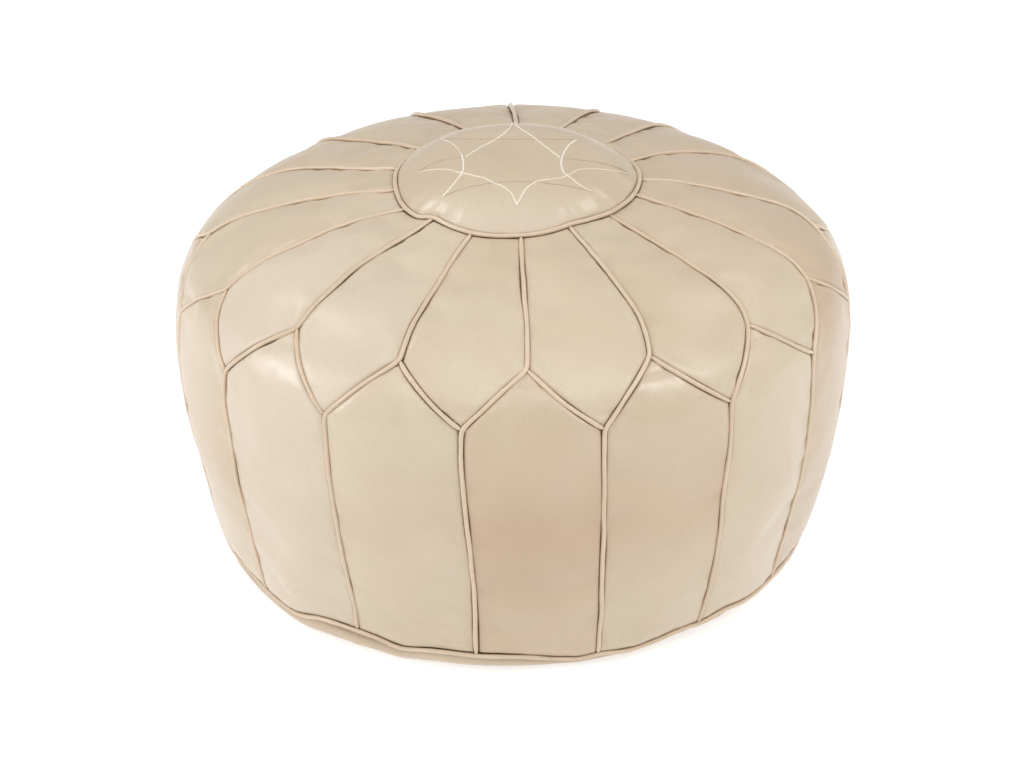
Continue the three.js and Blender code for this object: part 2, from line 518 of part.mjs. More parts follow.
const zip = new THREE.Group();
pouf.add(zip);
part("zip_tape_left", zipTape(-1), material(TAPE, 0.8), zip);
part("zip_tape_right", zipTape(1), material(TAPE, 0.8), zip);
const runner = new THREE.Group();
runner.position.set(SLIDER_X, 0, 0);
zip.add(runner);
part("zip_slider", slider(), material(BRASS, 0.35, 0.9), runner);
part("zip_pull_tab", pullTab(), material(BRASS, 0.35, 0.9), runner);

export default pouf;
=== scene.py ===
import math

import bmesh
import bpy
import numpy as np
from mathutils import Matrix, Vector


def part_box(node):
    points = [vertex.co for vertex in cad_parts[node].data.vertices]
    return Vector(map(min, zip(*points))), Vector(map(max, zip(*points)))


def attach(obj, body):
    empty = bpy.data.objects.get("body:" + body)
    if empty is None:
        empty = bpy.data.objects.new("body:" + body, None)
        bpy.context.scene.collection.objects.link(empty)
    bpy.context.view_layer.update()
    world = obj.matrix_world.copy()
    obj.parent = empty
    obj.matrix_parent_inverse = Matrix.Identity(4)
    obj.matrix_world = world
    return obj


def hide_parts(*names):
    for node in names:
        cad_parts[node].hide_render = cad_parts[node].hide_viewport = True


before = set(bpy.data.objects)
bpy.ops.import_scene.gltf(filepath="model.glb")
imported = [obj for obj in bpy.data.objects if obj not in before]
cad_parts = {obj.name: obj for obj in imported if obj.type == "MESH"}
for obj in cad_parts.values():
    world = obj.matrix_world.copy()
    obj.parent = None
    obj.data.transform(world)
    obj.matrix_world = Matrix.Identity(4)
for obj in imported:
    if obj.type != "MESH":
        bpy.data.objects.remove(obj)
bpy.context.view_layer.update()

rng = np.random.default_rng(16)
U = 0.245  # shoulder radius, metres
MM = 0.001
DEG = math.pi / 180

# ------------------------------------------------------------------ camera
EL, DIST, FOCAL, PX, AIM, ROLL = 27.515 * DEG, 10.2144 * U, 3006.33, 513.9, (0.45085 + 0.062) * U, 0.2536 * DEG
fwd = Vector((0, math.cos(EL), -math.sin(EL)))
right, up = Vector((1, 0, 0)), Vector((0, math.sin(EL), math.cos(EL)))
r2 = right * math.cos(ROLL) - up * math.sin(ROLL)
u2 = right * math.sin(ROLL) + up * math.cos(ROLL)
cam_data = bpy.data.cameras.new("camera")
cam = bpy.data.objects.new("camera", cam_data)
bpy.context.scene.collection.objects.link(cam)
m = Matrix.Identity(4)
for i in range(3):
    m[i][0], m[i][1], m[i][2] = r2[i], u2[i], -fwd[i]
    m[i][3] = (Vector((0, 0, AIM)) - fwd * DIST)[i]
cam.matrix_world = m
cam_data.sensor_width = 36
cam_data.lens = FOCAL * 36 / 1024
cam_data.shift_x = -(PX - 512) / 1024
cam_data.clip_start, cam_data.clip_end = 0.05, 60
bpy.context.scene.camera = cam

# ------------------------------------------------------------------ the cover's outline
OUTLINE = np.array([
    [0, 1.262], [0.15, 1.256], [0.28, 1.238], [0.4179, 1.2049], [0.6, 1.163],
    [0.8, 1.108], [0.93, 1.062], [1.0, 1.0209], [1.06, 0.965], [1.0937, 0.91],
    [1.1147, 0.8535], [1.1225, 0.75], [1.122, 0.64], [1.1143, 0.5284],
    [1.1, 0.4], [1.0772, 0.2887], [1.045, 0.14], [1.0047, 0.0],
    [0.967, -0.05], [0.9, -0.062]])
O = np.stack([OUTLINE[:, 0] * U, (OUTLINE[:, 1] + 0.062) * U], 1)
ALONG = np.concatenate([[0], np.cumsum(np.hypot(*np.diff(O, axis=0).T))])
SLOPE = np.zeros_like(O)
SLOPE[0] = (1, 0)
SLOPE[1:-1] = (O[2:] - O[:-2]) / (ALONG[2:] - ALONG[:-2])[:, None]
SLOPE[-1] = (O[-1] - O[-2]) / (ALONG[-1] - ALONG[-2])


def section(s):
    s = np.asarray(s, float)
    i = np.clip(np.searchsorted(ALONG, s, side="right") - 1, 0, len(ALONG) - 2)
    h = ALONG[i + 1] - ALONG[i]
    t = np.clip((s - ALONG[i]) / h, 0, 1)
    a, b, c, d = 2 * t**3 - 3 * t**2 + 1, t**3 - 2 * t**2 + t, -2 * t**3 + 3 * t**2, t**3 - t**2
    return (a[..., None] * O[i] + (b * h)[..., None] * SLOPE[i] + c[..., None] * O[i + 1] + (d * h)[..., None] * SLOPE[i + 1])


def normal2(s):
    p, q = section(np.maximum(0, np.asarray(s) - 0.0005)), section(np.asarray(s) + 0.0005)
    d = q - p
    d = d / np.hypot(d[..., 0], d[..., 1])[..., None]
    return np.stack([-d[..., 1], d[..., 0]], -1)


# Where the stuffing pushes the cover out of round: angle, distance from the crown (shoulder
# radii), amount in millimetres, spread in degrees, spread in shoulder radii.
BULGES = [(176, 0.86, 6.0, 42, 0.24)]


# Where the cover sags over its bottom seam: angle in degrees, amount in millimetres.
SAG_AT = [-66, -57, -47, -38, -32, -25, -15, -8, 0, 8, 15, 21, 27, 36]
SAG_MM = [0, 0.4, 2.0, 3.0, 3.5, 4.0, 3.2, 3.0, 2.8, 1.0, 3.6, 3.0, 0.6, 0]
SAG = np.array([np.interp(np.arange(-4, 5) + a, SAG_AT, SAG_MM).mean() for a in range(-180, 181)]) * MM


def sag(az):
    turn = (np.asarray(az, float) / DEG + 180) % 360 - 180
    return np.interp(turn, np.arange(-180, 181), SAG)


def bulge(az, s):
    """How far the stuffing pushes the cover out of its plain outline."""
    az = np.asarray(az, float)
    p = section(s)
    d = 0.8 * MM * lumps(np.stack(np.broadcast_arrays(p[..., 0] * np.sin(az), -p[..., 0] * np.cos(az), p[..., 1]), -1))
    for a, c, mm, wa, ws in BULGES:
        turn = (np.asarray(az) / DEG - a + 180) % 360 - 180
        d = d + mm * MM * np.exp(-((turn / wa) ** 2 + ((np.asarray(s) / U - c) / ws) ** 2) / 2)
    return d + sag(az) * np.exp(-(((np.asarray(s) / U - 2.12) / 0.06) ** 2) / 2)


def cover(az, s, off=0.0):
    """Points of the cover at angle az from the front, distance s from the crown, lifted by off."""
    az = np.asarray(az, float)
    p, n = section(s), normal2(s)
    off = off + bulge(az, s)
    r = p[..., 0] + n[..., 0] * off
    return np.stack([r * np.sin(az), -r * np.cos(az), p[..., 1] + n[..., 1] * off], -1)


def cover_normal(az, s):
    n = normal2(s)
    az = np.asarray(az, float)
    return np.stack([n[..., 0] * np.sin(az), -n[..., 0] * np.cos(az), n[..., 1]], -1)


# ------------------------------------------------------------------ seams
# Angle in degrees and distance from the crown in shoulder radii. rad: from the medallion to the
# apex; side: from the petal point down to the bottom seam.
SEAMS = [
    dict(rad=[(3.4, 0.437), (2.8, 0.56), (2.65, 0.7), (2.8, 0.84), (2.65, 0.93)], apex=(2.3, 1.032), tip=(14.25, 1.241), side=[(14.2, 1.375), (14.3, 1.59), (14.55, 1.75), (15.0, 1.92)], foot=(15.2, 2.123)),
    dict(rad=[(26.5, 0.416), (26.7, 0.6), (26.9, 0.75), (26.8, 0.882), (25.9, 0.955)], apex=(24.8, 1.033), tip=(37.1, 1.249), side=[(37.05, 1.378), (36.6, 1.49), (36.3, 1.63), (36.4, 1.75), (36.3, 1.93)], foot=(35.9, 2.108)),
    dict(rad=[(50.8, 0.41), (50.4, 0.575), (50.3, 0.69), (49.9, 0.79), (49.6, 0.88), (48.6, 0.968)], apex=(46.7, 1.043), tip=(58.9, 1.24), side=[(58.8, 1.34), (58.5, 1.51), (58.2, 1.7), (58.4, 1.9)], foot=(58.2, 2.114)),
    dict(rad=[(76.2, 0.434), (75.3, 0.535), (74.5, 0.64), (73.5, 0.746), (72.9, 0.86), (72.1, 0.96)], apex=(70.0, 1.045), tip=(81.0, 1.247), side=[(80.8, 1.5), (81.0, 1.75)], foot=(81.0, 2.106)),
    dict(rad=[(92.8, 0.43), (96.0, 0.53), (96.4, 0.634), (96.4, 0.74), (96.2, 0.845), (95.0, 0.95)], apex=(92.0, 1.03), tip=(106.0, 1.243), side=[(105.8, 1.5), (106.2, 1.8)], foot=(106.3, 2.112)),
    dict(rad=[(114.0, 0.436), (119.0, 0.52), (122.0, 0.63), (123.0, 0.78), (122.3, 0.92)], apex=(119.5, 1.034), tip=(131.0, 1.24), side=[(131.3, 1.5), (131.1, 1.8)], foot=(131.0, 2.102)),
    dict(rad=[(137.3, 0.446), (141.0, 0.62), (143.2, 0.78), (144.3, 0.92)], apex=(142.5, 1.04), tip=(152.4, 1.249), side=[(151.9, 1.5), (152.1, 1.8)], foot=(152.2, 2.116)),
    dict(rad=[(161.6, 0.43), (161.6, 0.61), (161.3, 0.78), (160.8, 0.93)], apex=(162.0, 1.03), tip=(171.4, 1.241), side=[(171.8, 1.5), (171.5, 1.8)], foot=(171.2, 2.11)),
    dict(rad=[(178.4, 0.424), (179.0, 0.6), (180.2, 0.8)], apex=(180.8, 1.036), tip=(191.2, 1.246), side=[(190.8, 1.5), (191.0, 1.8)], foot=(191.3, 2.1)),
    dict(rad=[(198.2, 0.43), (199.6, 0.58), (200.9, 0.72), (202.0, 0.9)], apex=(201.5, 1.03), tip=(212.5, 1.24), side=[(212.8, 1.5), (212.6, 1.8)], foot=(212.2, 2.113)),
    dict(rad=[(228.9, 0.412), (226.0, 0.54), (225.1, 0.66), (225.0, 0.83), (224.5, 0.93)], apex=(223.5, 1.038), tip=(235.6, 1.247), side=[(235.2, 1.5), (235.4, 1.8)], foot=(235.8, 2.106)),
    dict(rad=[(253.8, 0.408), (249.4, 0.593), (247.2, 0.72), (246.0, 0.83), (246.8, 0.93)], apex=(248.0, 1.032), tip=(258.4, 1.242), side=[(258.8, 1.5), (258.6, 1.8)], foot=(258.4, 2.117)),
    dict(rad=[(278.4, 0.41), (273.2, 0.51), (271.3, 0.646), (269.8, 0.78), (269.2, 0.86), (269.0, 0.96)], apex=(269.2, 1.045), tip=(281.4, 1.256), side=[(281.8, 1.5), (281.5, 1.8)], foot=(281.8, 2.104)),
    dict(rad=[(300.7, 0.429), (296.4, 0.5), (294.3, 0.621), (293.8, 0.764), (292.8, 0.9), (293.1, 0.979)], apex=(293.6, 1.047), tip=(305.2, 1.26), side=[(304.6, 1.367), (305.3, 1.494), (305.9, 1.64), (306.3, 1.75), (305.8, 1.94)], foot=(304.6, 2.128)),
    dict(rad=[(319.4, 0.407), (317.6, 0.54), (316.0, 0.703), (316.5, 0.83), (316.8, 0.94)], apex=(317.3, 1.023), tip=(328.45, 1.255), side=[(328.7, 1.36), (329.4, 1.549), (329.95, 1.67), (330.0, 1.8), (330.05, 1.95)], foot=(330.1, 2.088)),
    dict(rad=[(341.5, 0.435), (340.2, 0.53), (339.6, 0.67), (339.2, 0.8), (339.1, 0.9), (339.6, 0.98)], apex=(339.8, 1.037), tip=(351.7, 1.231), side=[(351.7, 1.34), (352.1, 1.46), (352.6, 1.6), (353.0, 1.72), (353.15, 1.87)], foot=(353.1, 2.096)),
]
N = len(SEAMS)
# Shape of the bottom seam between the side seams: angle, distance from the crown.
FOOT_EXTRA = [(-57.0, 2.128), (-50.7, 2.126), (-44.5, 2.122), (-38.5, 2.093), (-25.3, 2.094), (-21.5, 2.11), (-15.5, 2.096), (0.9, 2.101), (8.2, 2.13), (11.7, 2.139), (21.8, 2.136), (25.8, 2.128), (34.1, 2.106), (41.1, 2.095), (50.5, 2.118)]


def pts(list_):
    a = np.array(list_, float)
    return np.stack([a[:, 0] * DEG, a[:, 1] * U], 1)


def hermite(x, y, q):
    """Smooth curve through the points (x, y), x rising, at q."""
    x, y, q = np.asarray(x, float), np.asarray(y, float), np.asarray(q, float)
    d = np.diff(y) / np.diff(x)
    g = np.zeros_like(y)
    g[0], g[-1] = d[0], d[-1]
    w = np.diff(x)
    g[1:-1] = (d[:-1] * w[1:] + d[1:] * w[:-1]) / (w[1:] + w[:-1])
    i = np.clip(np.searchsorted(x, q, side="right") - 1, 0, len(x) - 2)
    h = x[i + 1] - x[i]
    t = (q - x[i]) / h
    return ((2 * t**3 - 3 * t**2 + 1) * y[i] + (t**3 - 2 * t**2 + t) * h * g[i] + (-2 * t**3 + 3 * t**2) * y[i + 1] + (t**3 - t**2) * h * g[i + 1])


def ring(list_):
    a = pts(sorted(((p[0] % 360), p[1]) for p in list_))
    x = np.concatenate([a[-3:, 0] - 2 * math.pi, a[:, 0], a[:3, 0] + 2 * math.pi])
    y = np.concatenate([a[-3:, 1], a[:, 1], a[:3, 1]])
    return lambda az: hermite(x, y, np.asarray(az, float) % (2 * math.pi))


# The ring round the medallion: angle, distance from the crown.
MEDALLION = [(-83.5, .3935), (-74, .398), (-65.3, .405), (-56, .4135), (-47.1, .4131), (-42.2, .399), (-34.1, .4047), (-24.7, .4192), (-16.1, .4279), (-6.1, .4285), (5.3, .4261), (13.1, .4208), (21.8, .4093), (28, .399), (36.9, .3975), (47.4, .4026), (57.9, .4058), (70.6, .4101), (82.5, .4167), (93.1, .4248), (109.4, .4294), (124, .436), (139, .437), (162.5, .424), (182, .419), (205, .423), (228.9, .409), (253.8, .401)]
medallion_line = ring(MEDALLION)
foot_line = ring([k["foot"] for k in SEAMS] + FOOT_EXTRA)


def seam_data(k):
    turn, base = k // N * 360, SEAMS[k % N]
    sh = lambda p: (p[0] + turn, p[1])
    return dict(rad=[sh(p) for p in base["rad"]] + [sh(base["apex"])], apex=sh(base["apex"]), tip=sh(base["tip"]), side=[sh(base["tip"])] + [sh(p) for p in base["side"]] + [sh(base["foot"])])


def radial(k, t):
    """Seam k from the medallion (t 0) to its apex (t 1)."""
    p = pts(seam_data(k)["rad"])
    p[0, 1] = medallion_line(p[0, 0])
    s = p[0, 1] + (p[-1, 1] - p[0, 1]) * t
    return np.stack([hermite(p[:, 1], p[:, 0], s), s], 1)


def upright(k, t):
    """Seam k's side run from the petal point (t 0) to the bottom seam (t 1)."""
    p = pts(seam_data(k)["side"])
    p[-1, 1] = foot_line(p[-1, 0])
    s = p[0, 1] + (p[-1, 1] - p[0, 1]) * t
    return np.stack([hermite(p[:, 1], p[:, 0], s), s], 1)


def arm(a, b, t, bow):
    """The run from an apex a to a petal point b, bowed by a share of its length."""
    a, b = pts([a])[0], pts([b])[0]
    p = a + (b - a) * t[:, None]
    r = section(p[:, 1])[:, 0]
    d = np.array([(b[0] - a[0]) * r.mean(), b[1] - a[1]])
    n = np.array([-d[1], d[0]]) * (1 if d[0] < 0 else -1)
    w = bow * 4 * t * (1 - t)
    return np.stack([p[:, 0] + n[0] * w / r, p[:, 1] + n[1] * w], 1)


BOW = 0.03


def arm_right(k, t):
    d = seam_data(k)
    return arm(d["apex"], d["tip"], t, -BOW)


def arm_left(k, t):
    return arm(seam_data(k)["apex"], seam_data(k - 1)["tip"], t, BOW * 0.4)


# ------------------------------------------------------------------ smooth random fields
class Waves:
    """A smooth random field of about unit size with the given range of wavelengths."""

    def __init__(self, seed, low, high, count=28):
        g = np.random.default_rng(seed)
        v = g.normal(size=(count, 3))
        v /= np.linalg.norm(v, axis=1)[:, None]
        self.k = v * (2 * math.pi / np.exp(g.uniform(math.log(low), math.log(high), count)))[:, None]
        self.f = g.uniform(0, 2 * math.pi, count)
        self.a = math.sqrt(2 / count)

    def __call__(self, p):
        shape = p.shape[:-1]
        return (np.sin(p.reshape(-1, 3) @ self.k.T + self.f).sum(1) * self.a).reshape(shape)


lumps = Waves(3, 0.09, 0.22)
dents = Waves(5, 0.035, 0.08)
ripple = Waves(8, 0.012, 0.03)
wander = Waves(11, 0.025, 0.07)
girth = Waves(12, 0.01, 0.04)

# ------------------------------------------------------------------ panels as grids
SEAM_DIP = 2.1 * MM  # the seams lie this far under the outline


def petal_edges(k, rows1, rows2):
    left = np.concatenate([radial(k, rows1), arm_right(k, rows2)[1:]])
    right_ = np.concatenate([radial(k + 1, rows1), arm_left(k + 1, rows2)[1:]])
    return left, right_


def side_edges(k, rows1, rows2):
    left = np.concatenate([arm_left(k, rows1), upright(k - 1, rows2)[1:]])
    right_ = np.concatenate([arm_right(k, rows1), upright(k, rows2)[1:]])
    return left, right_


def tangents(p):
    r = section(p[:, 1])[:, 0]
    d = np.gradient(p, axis=0)
    v = np.stack([d[:, 0] * r, -d[:, 1]], 1)
    return v / np.maximum(np.linalg.norm(v, axis=1), 1e-12)[:, None]


def inset(runs, gap):
    """Moves a closed outline's runs inwards by gap. Each run is a list of places; the last place of
    one is the first of the next, and the inside is on the left seen from outside."""
    tan = [tangents(r) for r in runs]
    nor = [np.stack([-t[:, 1], t[:, 0]], 1) for t in tan]
    n = len(runs)
    out = []
    for i, run in enumerate(runs):
        a, b = (i - 1) % n, (i + 1) % n
        def mitre(t1, n1, t2, n2):
            return gap * (n1 + n2) / (1 + n1 @ n2)
        first = mitre(tan[a][-1], nor[a][-1], tan[i][0], nor[i][0]) @ tan[i][0]
        last = mitre(tan[i][-1], nor[i][-1], tan[b][0], nor[b][0]) @ tan[i][-1]
        r = section(run[:, 1])[:, 0]
        xy = np.stack([run[:, 0] * r, -run[:, 1]], 1)
        length = np.concatenate([[0], np.cumsum(np.linalg.norm(np.diff(xy, axis=0), axis=1))])
        f = length / length[-1]
        near0, near1 = np.clip(1 - f * 3, 0, 1) ** 2, np.clip(1 - (1 - f) * 3, 0, 1) ** 2
        shift = nor[i] * gap + tan[i] * (first * near0 + last * near1)[:, None]
        out.append(np.stack([run[:, 0] + shift[:, 0] / r, run[:, 1] - shift[:, 1]], 1))
    return out


def seam_field(points, lines):
    """Distance of points to the nearest of the seam lines (3-D points), and where along it."""
    flat = points.reshape(-1, 3)
    best = np.full(len(flat), 1e9)
    where = np.zeros((len(flat), 3))
    for line in lines:
        a, b = line[:-1], line[1:]
        for lo in range(0, len(flat), 1500):
            q = flat[lo:lo + 1500]
            ab = b - a
            t = np.clip(((q[:, None] - a) * ab).sum(2) / (ab * ab).sum(1), 0, 1)
            c = a + ab * t[..., None]
            d = np.linalg.norm(q[:, None] - c, axis=2)
            j = d.argmin(1)
            m_ = d[np.arange(len(q)), j]
            hit = m_ < best[lo:lo + 1500]
            best[lo:lo + 1500] = np.where(hit, m_, best[lo:lo + 1500])
            where[lo:lo + 1500] = np.where(hit[:, None], c[np.arange(len(q)), j], where[lo:lo + 1500])
    return best.reshape(points.shape[:-1]), where.reshape(points.shape)


def mesh_object(name, verts, faces, attributes=None, smooth=True):
    me = bpy.data.meshes.new(name)
    me.from_pydata(np.asarray(verts, float).tolist(), [], faces if isinstance(faces, list) else faces.tolist())
    me.validate()
    for key, values in (attributes or {}).items():
        at = me.attributes.new(key, "FLOAT", "POINT")
        at.data.foreach_set("value", np.asarray(values, np.float32).ravel())
    if smooth:
        me.shade_smooth()
    o = bpy.data.objects.new(name, me)
    bpy.context.scene.collection.objects.link(o)
    return o


def shell_object(name, outer, inner, attributes, first_point=False, last_point=False, wrap=False):
    """A closed thin shell from an outer and an inner grid of points (rows x columns x 3)."""
    R, C = outer.shape[:2]
    idx = np.arange(R * C).reshape(R, C)
    if first_point:
        idx[0, :] = idx[0, 0]
    if last_point:
        idx[-1, :] = idx[-1, 0]
    faces = []
    shift = R * C

    def quad(a, b, c, d):
        f = []
        for v in (a, b, c, d):
            if v not in f:
                f.append(int(v))
        if len(f) > 2:
            faces.append(f)

    cols = C if wrap else C - 1
    for i in range(R - 1):
        for j in range(cols):
            k = (j + 1) % C
            a, b, c, d = idx[i, j], idx[i + 1, j], idx[i + 1, k], idx[i, k]
            quad(a, b, c, d)
            quad(a + shift, d + shift, c + shift, b + shift)
    def rim(loop):
        for a, b in zip(loop[:-1], loop[1:]):
            if a != b:
                quad(a, a + shift, b + shift, b)
    if wrap:
        if not first_point:
            rim([idx[0, j] for j in range(C)][::-1] + [idx[0, C - 1]])
        if not last_point:
            rim([idx[-1, j] for j in range(C)] + [idx[-1, 0]])
    else:
        rim(list(idx[:, 0]) [::-1])
        rim(list(idx[-1, :])[::-1])
        rim(list(idx[:, -1]))
        rim(list(idx[0, :]))
    verts = np.concatenate([outer.reshape(-1, 3), inner.reshape(-1, 3)])
    att = {k: np.concatenate([v.ravel(), v.ravel()]) for k, v in attributes.items()}
    used = np.zeros(len(verts), bool)
    for f in faces:
        used[f] = True
    remap = np.cumsum(used) - 1
    faces = [[int(remap[v]) for v in f] for f in faces]
    return mesh_object(name, verts[used], faces, {k: v[used] for k, v in att.items()})


# ------------------------------------------------------------------ stuffing pressure: cloth simulation
SIM_COLS, SIM_RAD, SIM_ARM, SIM_SIDE = 14, 16, 9, 22


def simulate_cover():
    """Inflates the whole stitched cover between its seams and returns each panel's lift, as a grid."""
    grids, keys = {}, {}
    points, pinned, faces = [], [], []

    def vertex(p, pin):
        key = (round(p[0] * 2e4), round(p[1] * 2e4), round(p[2] * 2e4))
        if key not in keys:
            keys[key] = len(points)
            points.append(p)
            pinned.append(pin)
        elif pin:
            pinned[keys[key]] = True
        return keys[key]

    def add(name, az, s, lift, edge):
        p = cover(az, s, lift)
        ids = np.empty(az.shape, int)
        for i in range(az.shape[0]):
            for j in range(az.shape[1]):
                ids[i, j] = vertex(p[i, j], bool(edge[i, j]))
        for i in range(az.shape[0] - 1):
            for j in range(az.shape[1] - 1):
                f = []
                for v in (ids[i, j], ids[i + 1, j], ids[i + 1, j + 1], ids[i, j + 1]):
                    if v not in f:
                        f.append(int(v))
                if len(f) > 2:
                    faces.append(f)
        grids[name] = (ids, az, s)

    u = np.linspace(0, 1, SIM_COLS + 1)
    for k in range(N):
        for kind in ("petal", "side"):
            r1, r2_ = (np.linspace(0, 1, SIM_RAD + 1), np.linspace(0, 1, SIM_ARM + 1)) if kind == "petal" else (np.linspace(0, 1, SIM_ARM + 1), np.linspace(0, 1, SIM_SIDE + 1))
            L, R_ = (petal_edges if kind == "petal" else side_edges)(k, r1, r2_)
            az = L[:, :1] + (R_[:, :1] - L[:, :1]) * u
            s = L[:, 1:] + (R_[:, 1:] - L[:, 1:]) * u
            if kind == "petal":
                s[0] = medallion_line(az[0])
            else:
                s[-1] = foot_line(az[-1])
            edge = np.zeros(az.shape, bool)
            edge[:, 0] = edge[:, -1] = edge[0] = edge[-1] = True
            v = np.linspace(0, 1, az.shape[0])[:, None]
            lift = -SEAM_DIP + 0.6 * MM * np.where(edge, 0, 1)
            add((kind, k), az, s, lift, edge)
    me = bpy.data.meshes.new("sim")
    me.from_pydata([tuple(map(float, p)) for p in points], [], faces)
    me.validate()
    o = bpy.data.objects.new("sim", me)
    bpy.context.scene.collection.objects.link(o)
    g = o.vertex_groups.new(name="pin")
    g.add([i for i, f in enumerate(pinned) if f], 1.0, "REPLACE")
    mod = o.modifiers.new("cloth", "CLOTH")
    c = mod.settings
    c.quality = 6
    c.mass = 0.35
    c.air_damping = 3.0
    c.tension_stiffness = c.compression_stiffness = 30
    c.shear_stiffness = 12
    c.bending_stiffness = 1.5
    c.vertex_group_mass = "pin"
    c.use_pressure = True
    c.uniform_pressure_force = 5.0
    c.shrink_min = -0.009
    c.effector_weights.gravity = 0
    mod.collision_settings.use_collision = False
    mod.collision_settings.use_self_collision = False
    mod.point_cache.frame_start, mod.point_cache.frame_end = 1, 20
    sc = bpy.context.scene
    for f in range(1, 21):
        sc.frame_set(f)
    dg = bpy.context.evaluated_depsgraph_get()
    ev = o.evaluated_get(dg)
    co = np.array([v.co for v in ev.data.vertices], float)
    bpy.data.objects.remove(o)
    sc.frame_set(1)
    out = {}
    for name, (ids, az, s) in grids.items():
        base, n = cover(az, s), cover_normal(az, s)
        lift = ((co[ids] - base) * n).sum(-1)
        out[name] = np.clip(lift, -SEAM_DIP * 1.2, 6.5 * MM)
    return out


def bicubic(grid, i, j):
    """Catmull-Rom sample of a grid at fractional rows i and columns j."""
    def weights(t):
        return [(-t + 2 * t**2 - t**3) / 2, (2 - 5 * t**2 + 3 * t**3) / 2, (t + 4 * t**2 - 3 * t**3) / 2, (-t**2 + t**3) / 2]
    R, C = grid.shape
    i0, j0 = np.clip(np.floor(i).astype(int), 0, R - 2), np.clip(np.floor(j).astype(int), 0, C - 2)
    wi, wj = weights(i - i0), weights(j - j0)
    out = 0
    for a in range(4):
        for b in range(4):
            out = out + wi[a] * wj[b] * grid[np.clip(i0 + a - 1, 0, R - 1), np.clip(j0 + b - 1, 0, C - 1)]
    return out


puffed = simulate_cover()
# ------------------------------------------------------------------ materials
def srgb(r, g, b):
    return tuple(((c / 255) / 12.92 if c / 255 <= 0.04045 else ((c / 255 + 0.055) / 1.055) ** 2.4) for c in (r, g, b)) + (1,)


def mix_colour(nt, fac, a, b, mode="MIX"):
    n = nt.nodes.new("ShaderNodeMix")
    n.data_type = "RGBA"
    n.blend_type = mode
    for sock, v in ((n.inputs[0], fac), (n.inputs[6], a), (n.inputs[7], b)):
        if isinstance(v, (int, float, tuple)):
            sock.default_value = v
        else:
            nt.links.new(v, sock)
    return n.outputs[2]


def maths(nt, op, a, b=None, clamp=False):
    n = nt.nodes.new("ShaderNodeMath")
    n.operation = op
    n.use_clamp = clamp
    for sock, v in ((n.inputs[0], a), (n.inputs[1], b)):
        if v is None:
            continue
        if isinstance(v, (int, float)):
            sock.default_value = v
        else:
            nt.links.new(v, sock)
    return n.outputs[0]


def noise_tex(nt, coord, scale, detail=2.0, rough=0.5, distort=0.0, seed=0.0):
    n = nt.nodes.new("ShaderNodeTexNoise")
    n.noise_dimensions = "4D"
    n.inputs["W"].default_value = seed
    n.inputs["Scale"].default_value = scale
    n.inputs["Detail"].default_value = detail
    n.inputs["Roughness"].default_value = rough
    n.inputs["Distortion"].default_value = distort
    nt.links.new(coord, n.inputs["Vector"])
    return n.outputs["Fac"]


def ramp(nt, fac, a, b):
    n = nt.nodes.new("ShaderNodeMapRange")
    n.inputs["From Min"].default_value, n.inputs["From Max"].default_value = a, b
    nt.links.new(fac, n.inputs["Value"])
    return n.outputs[0]


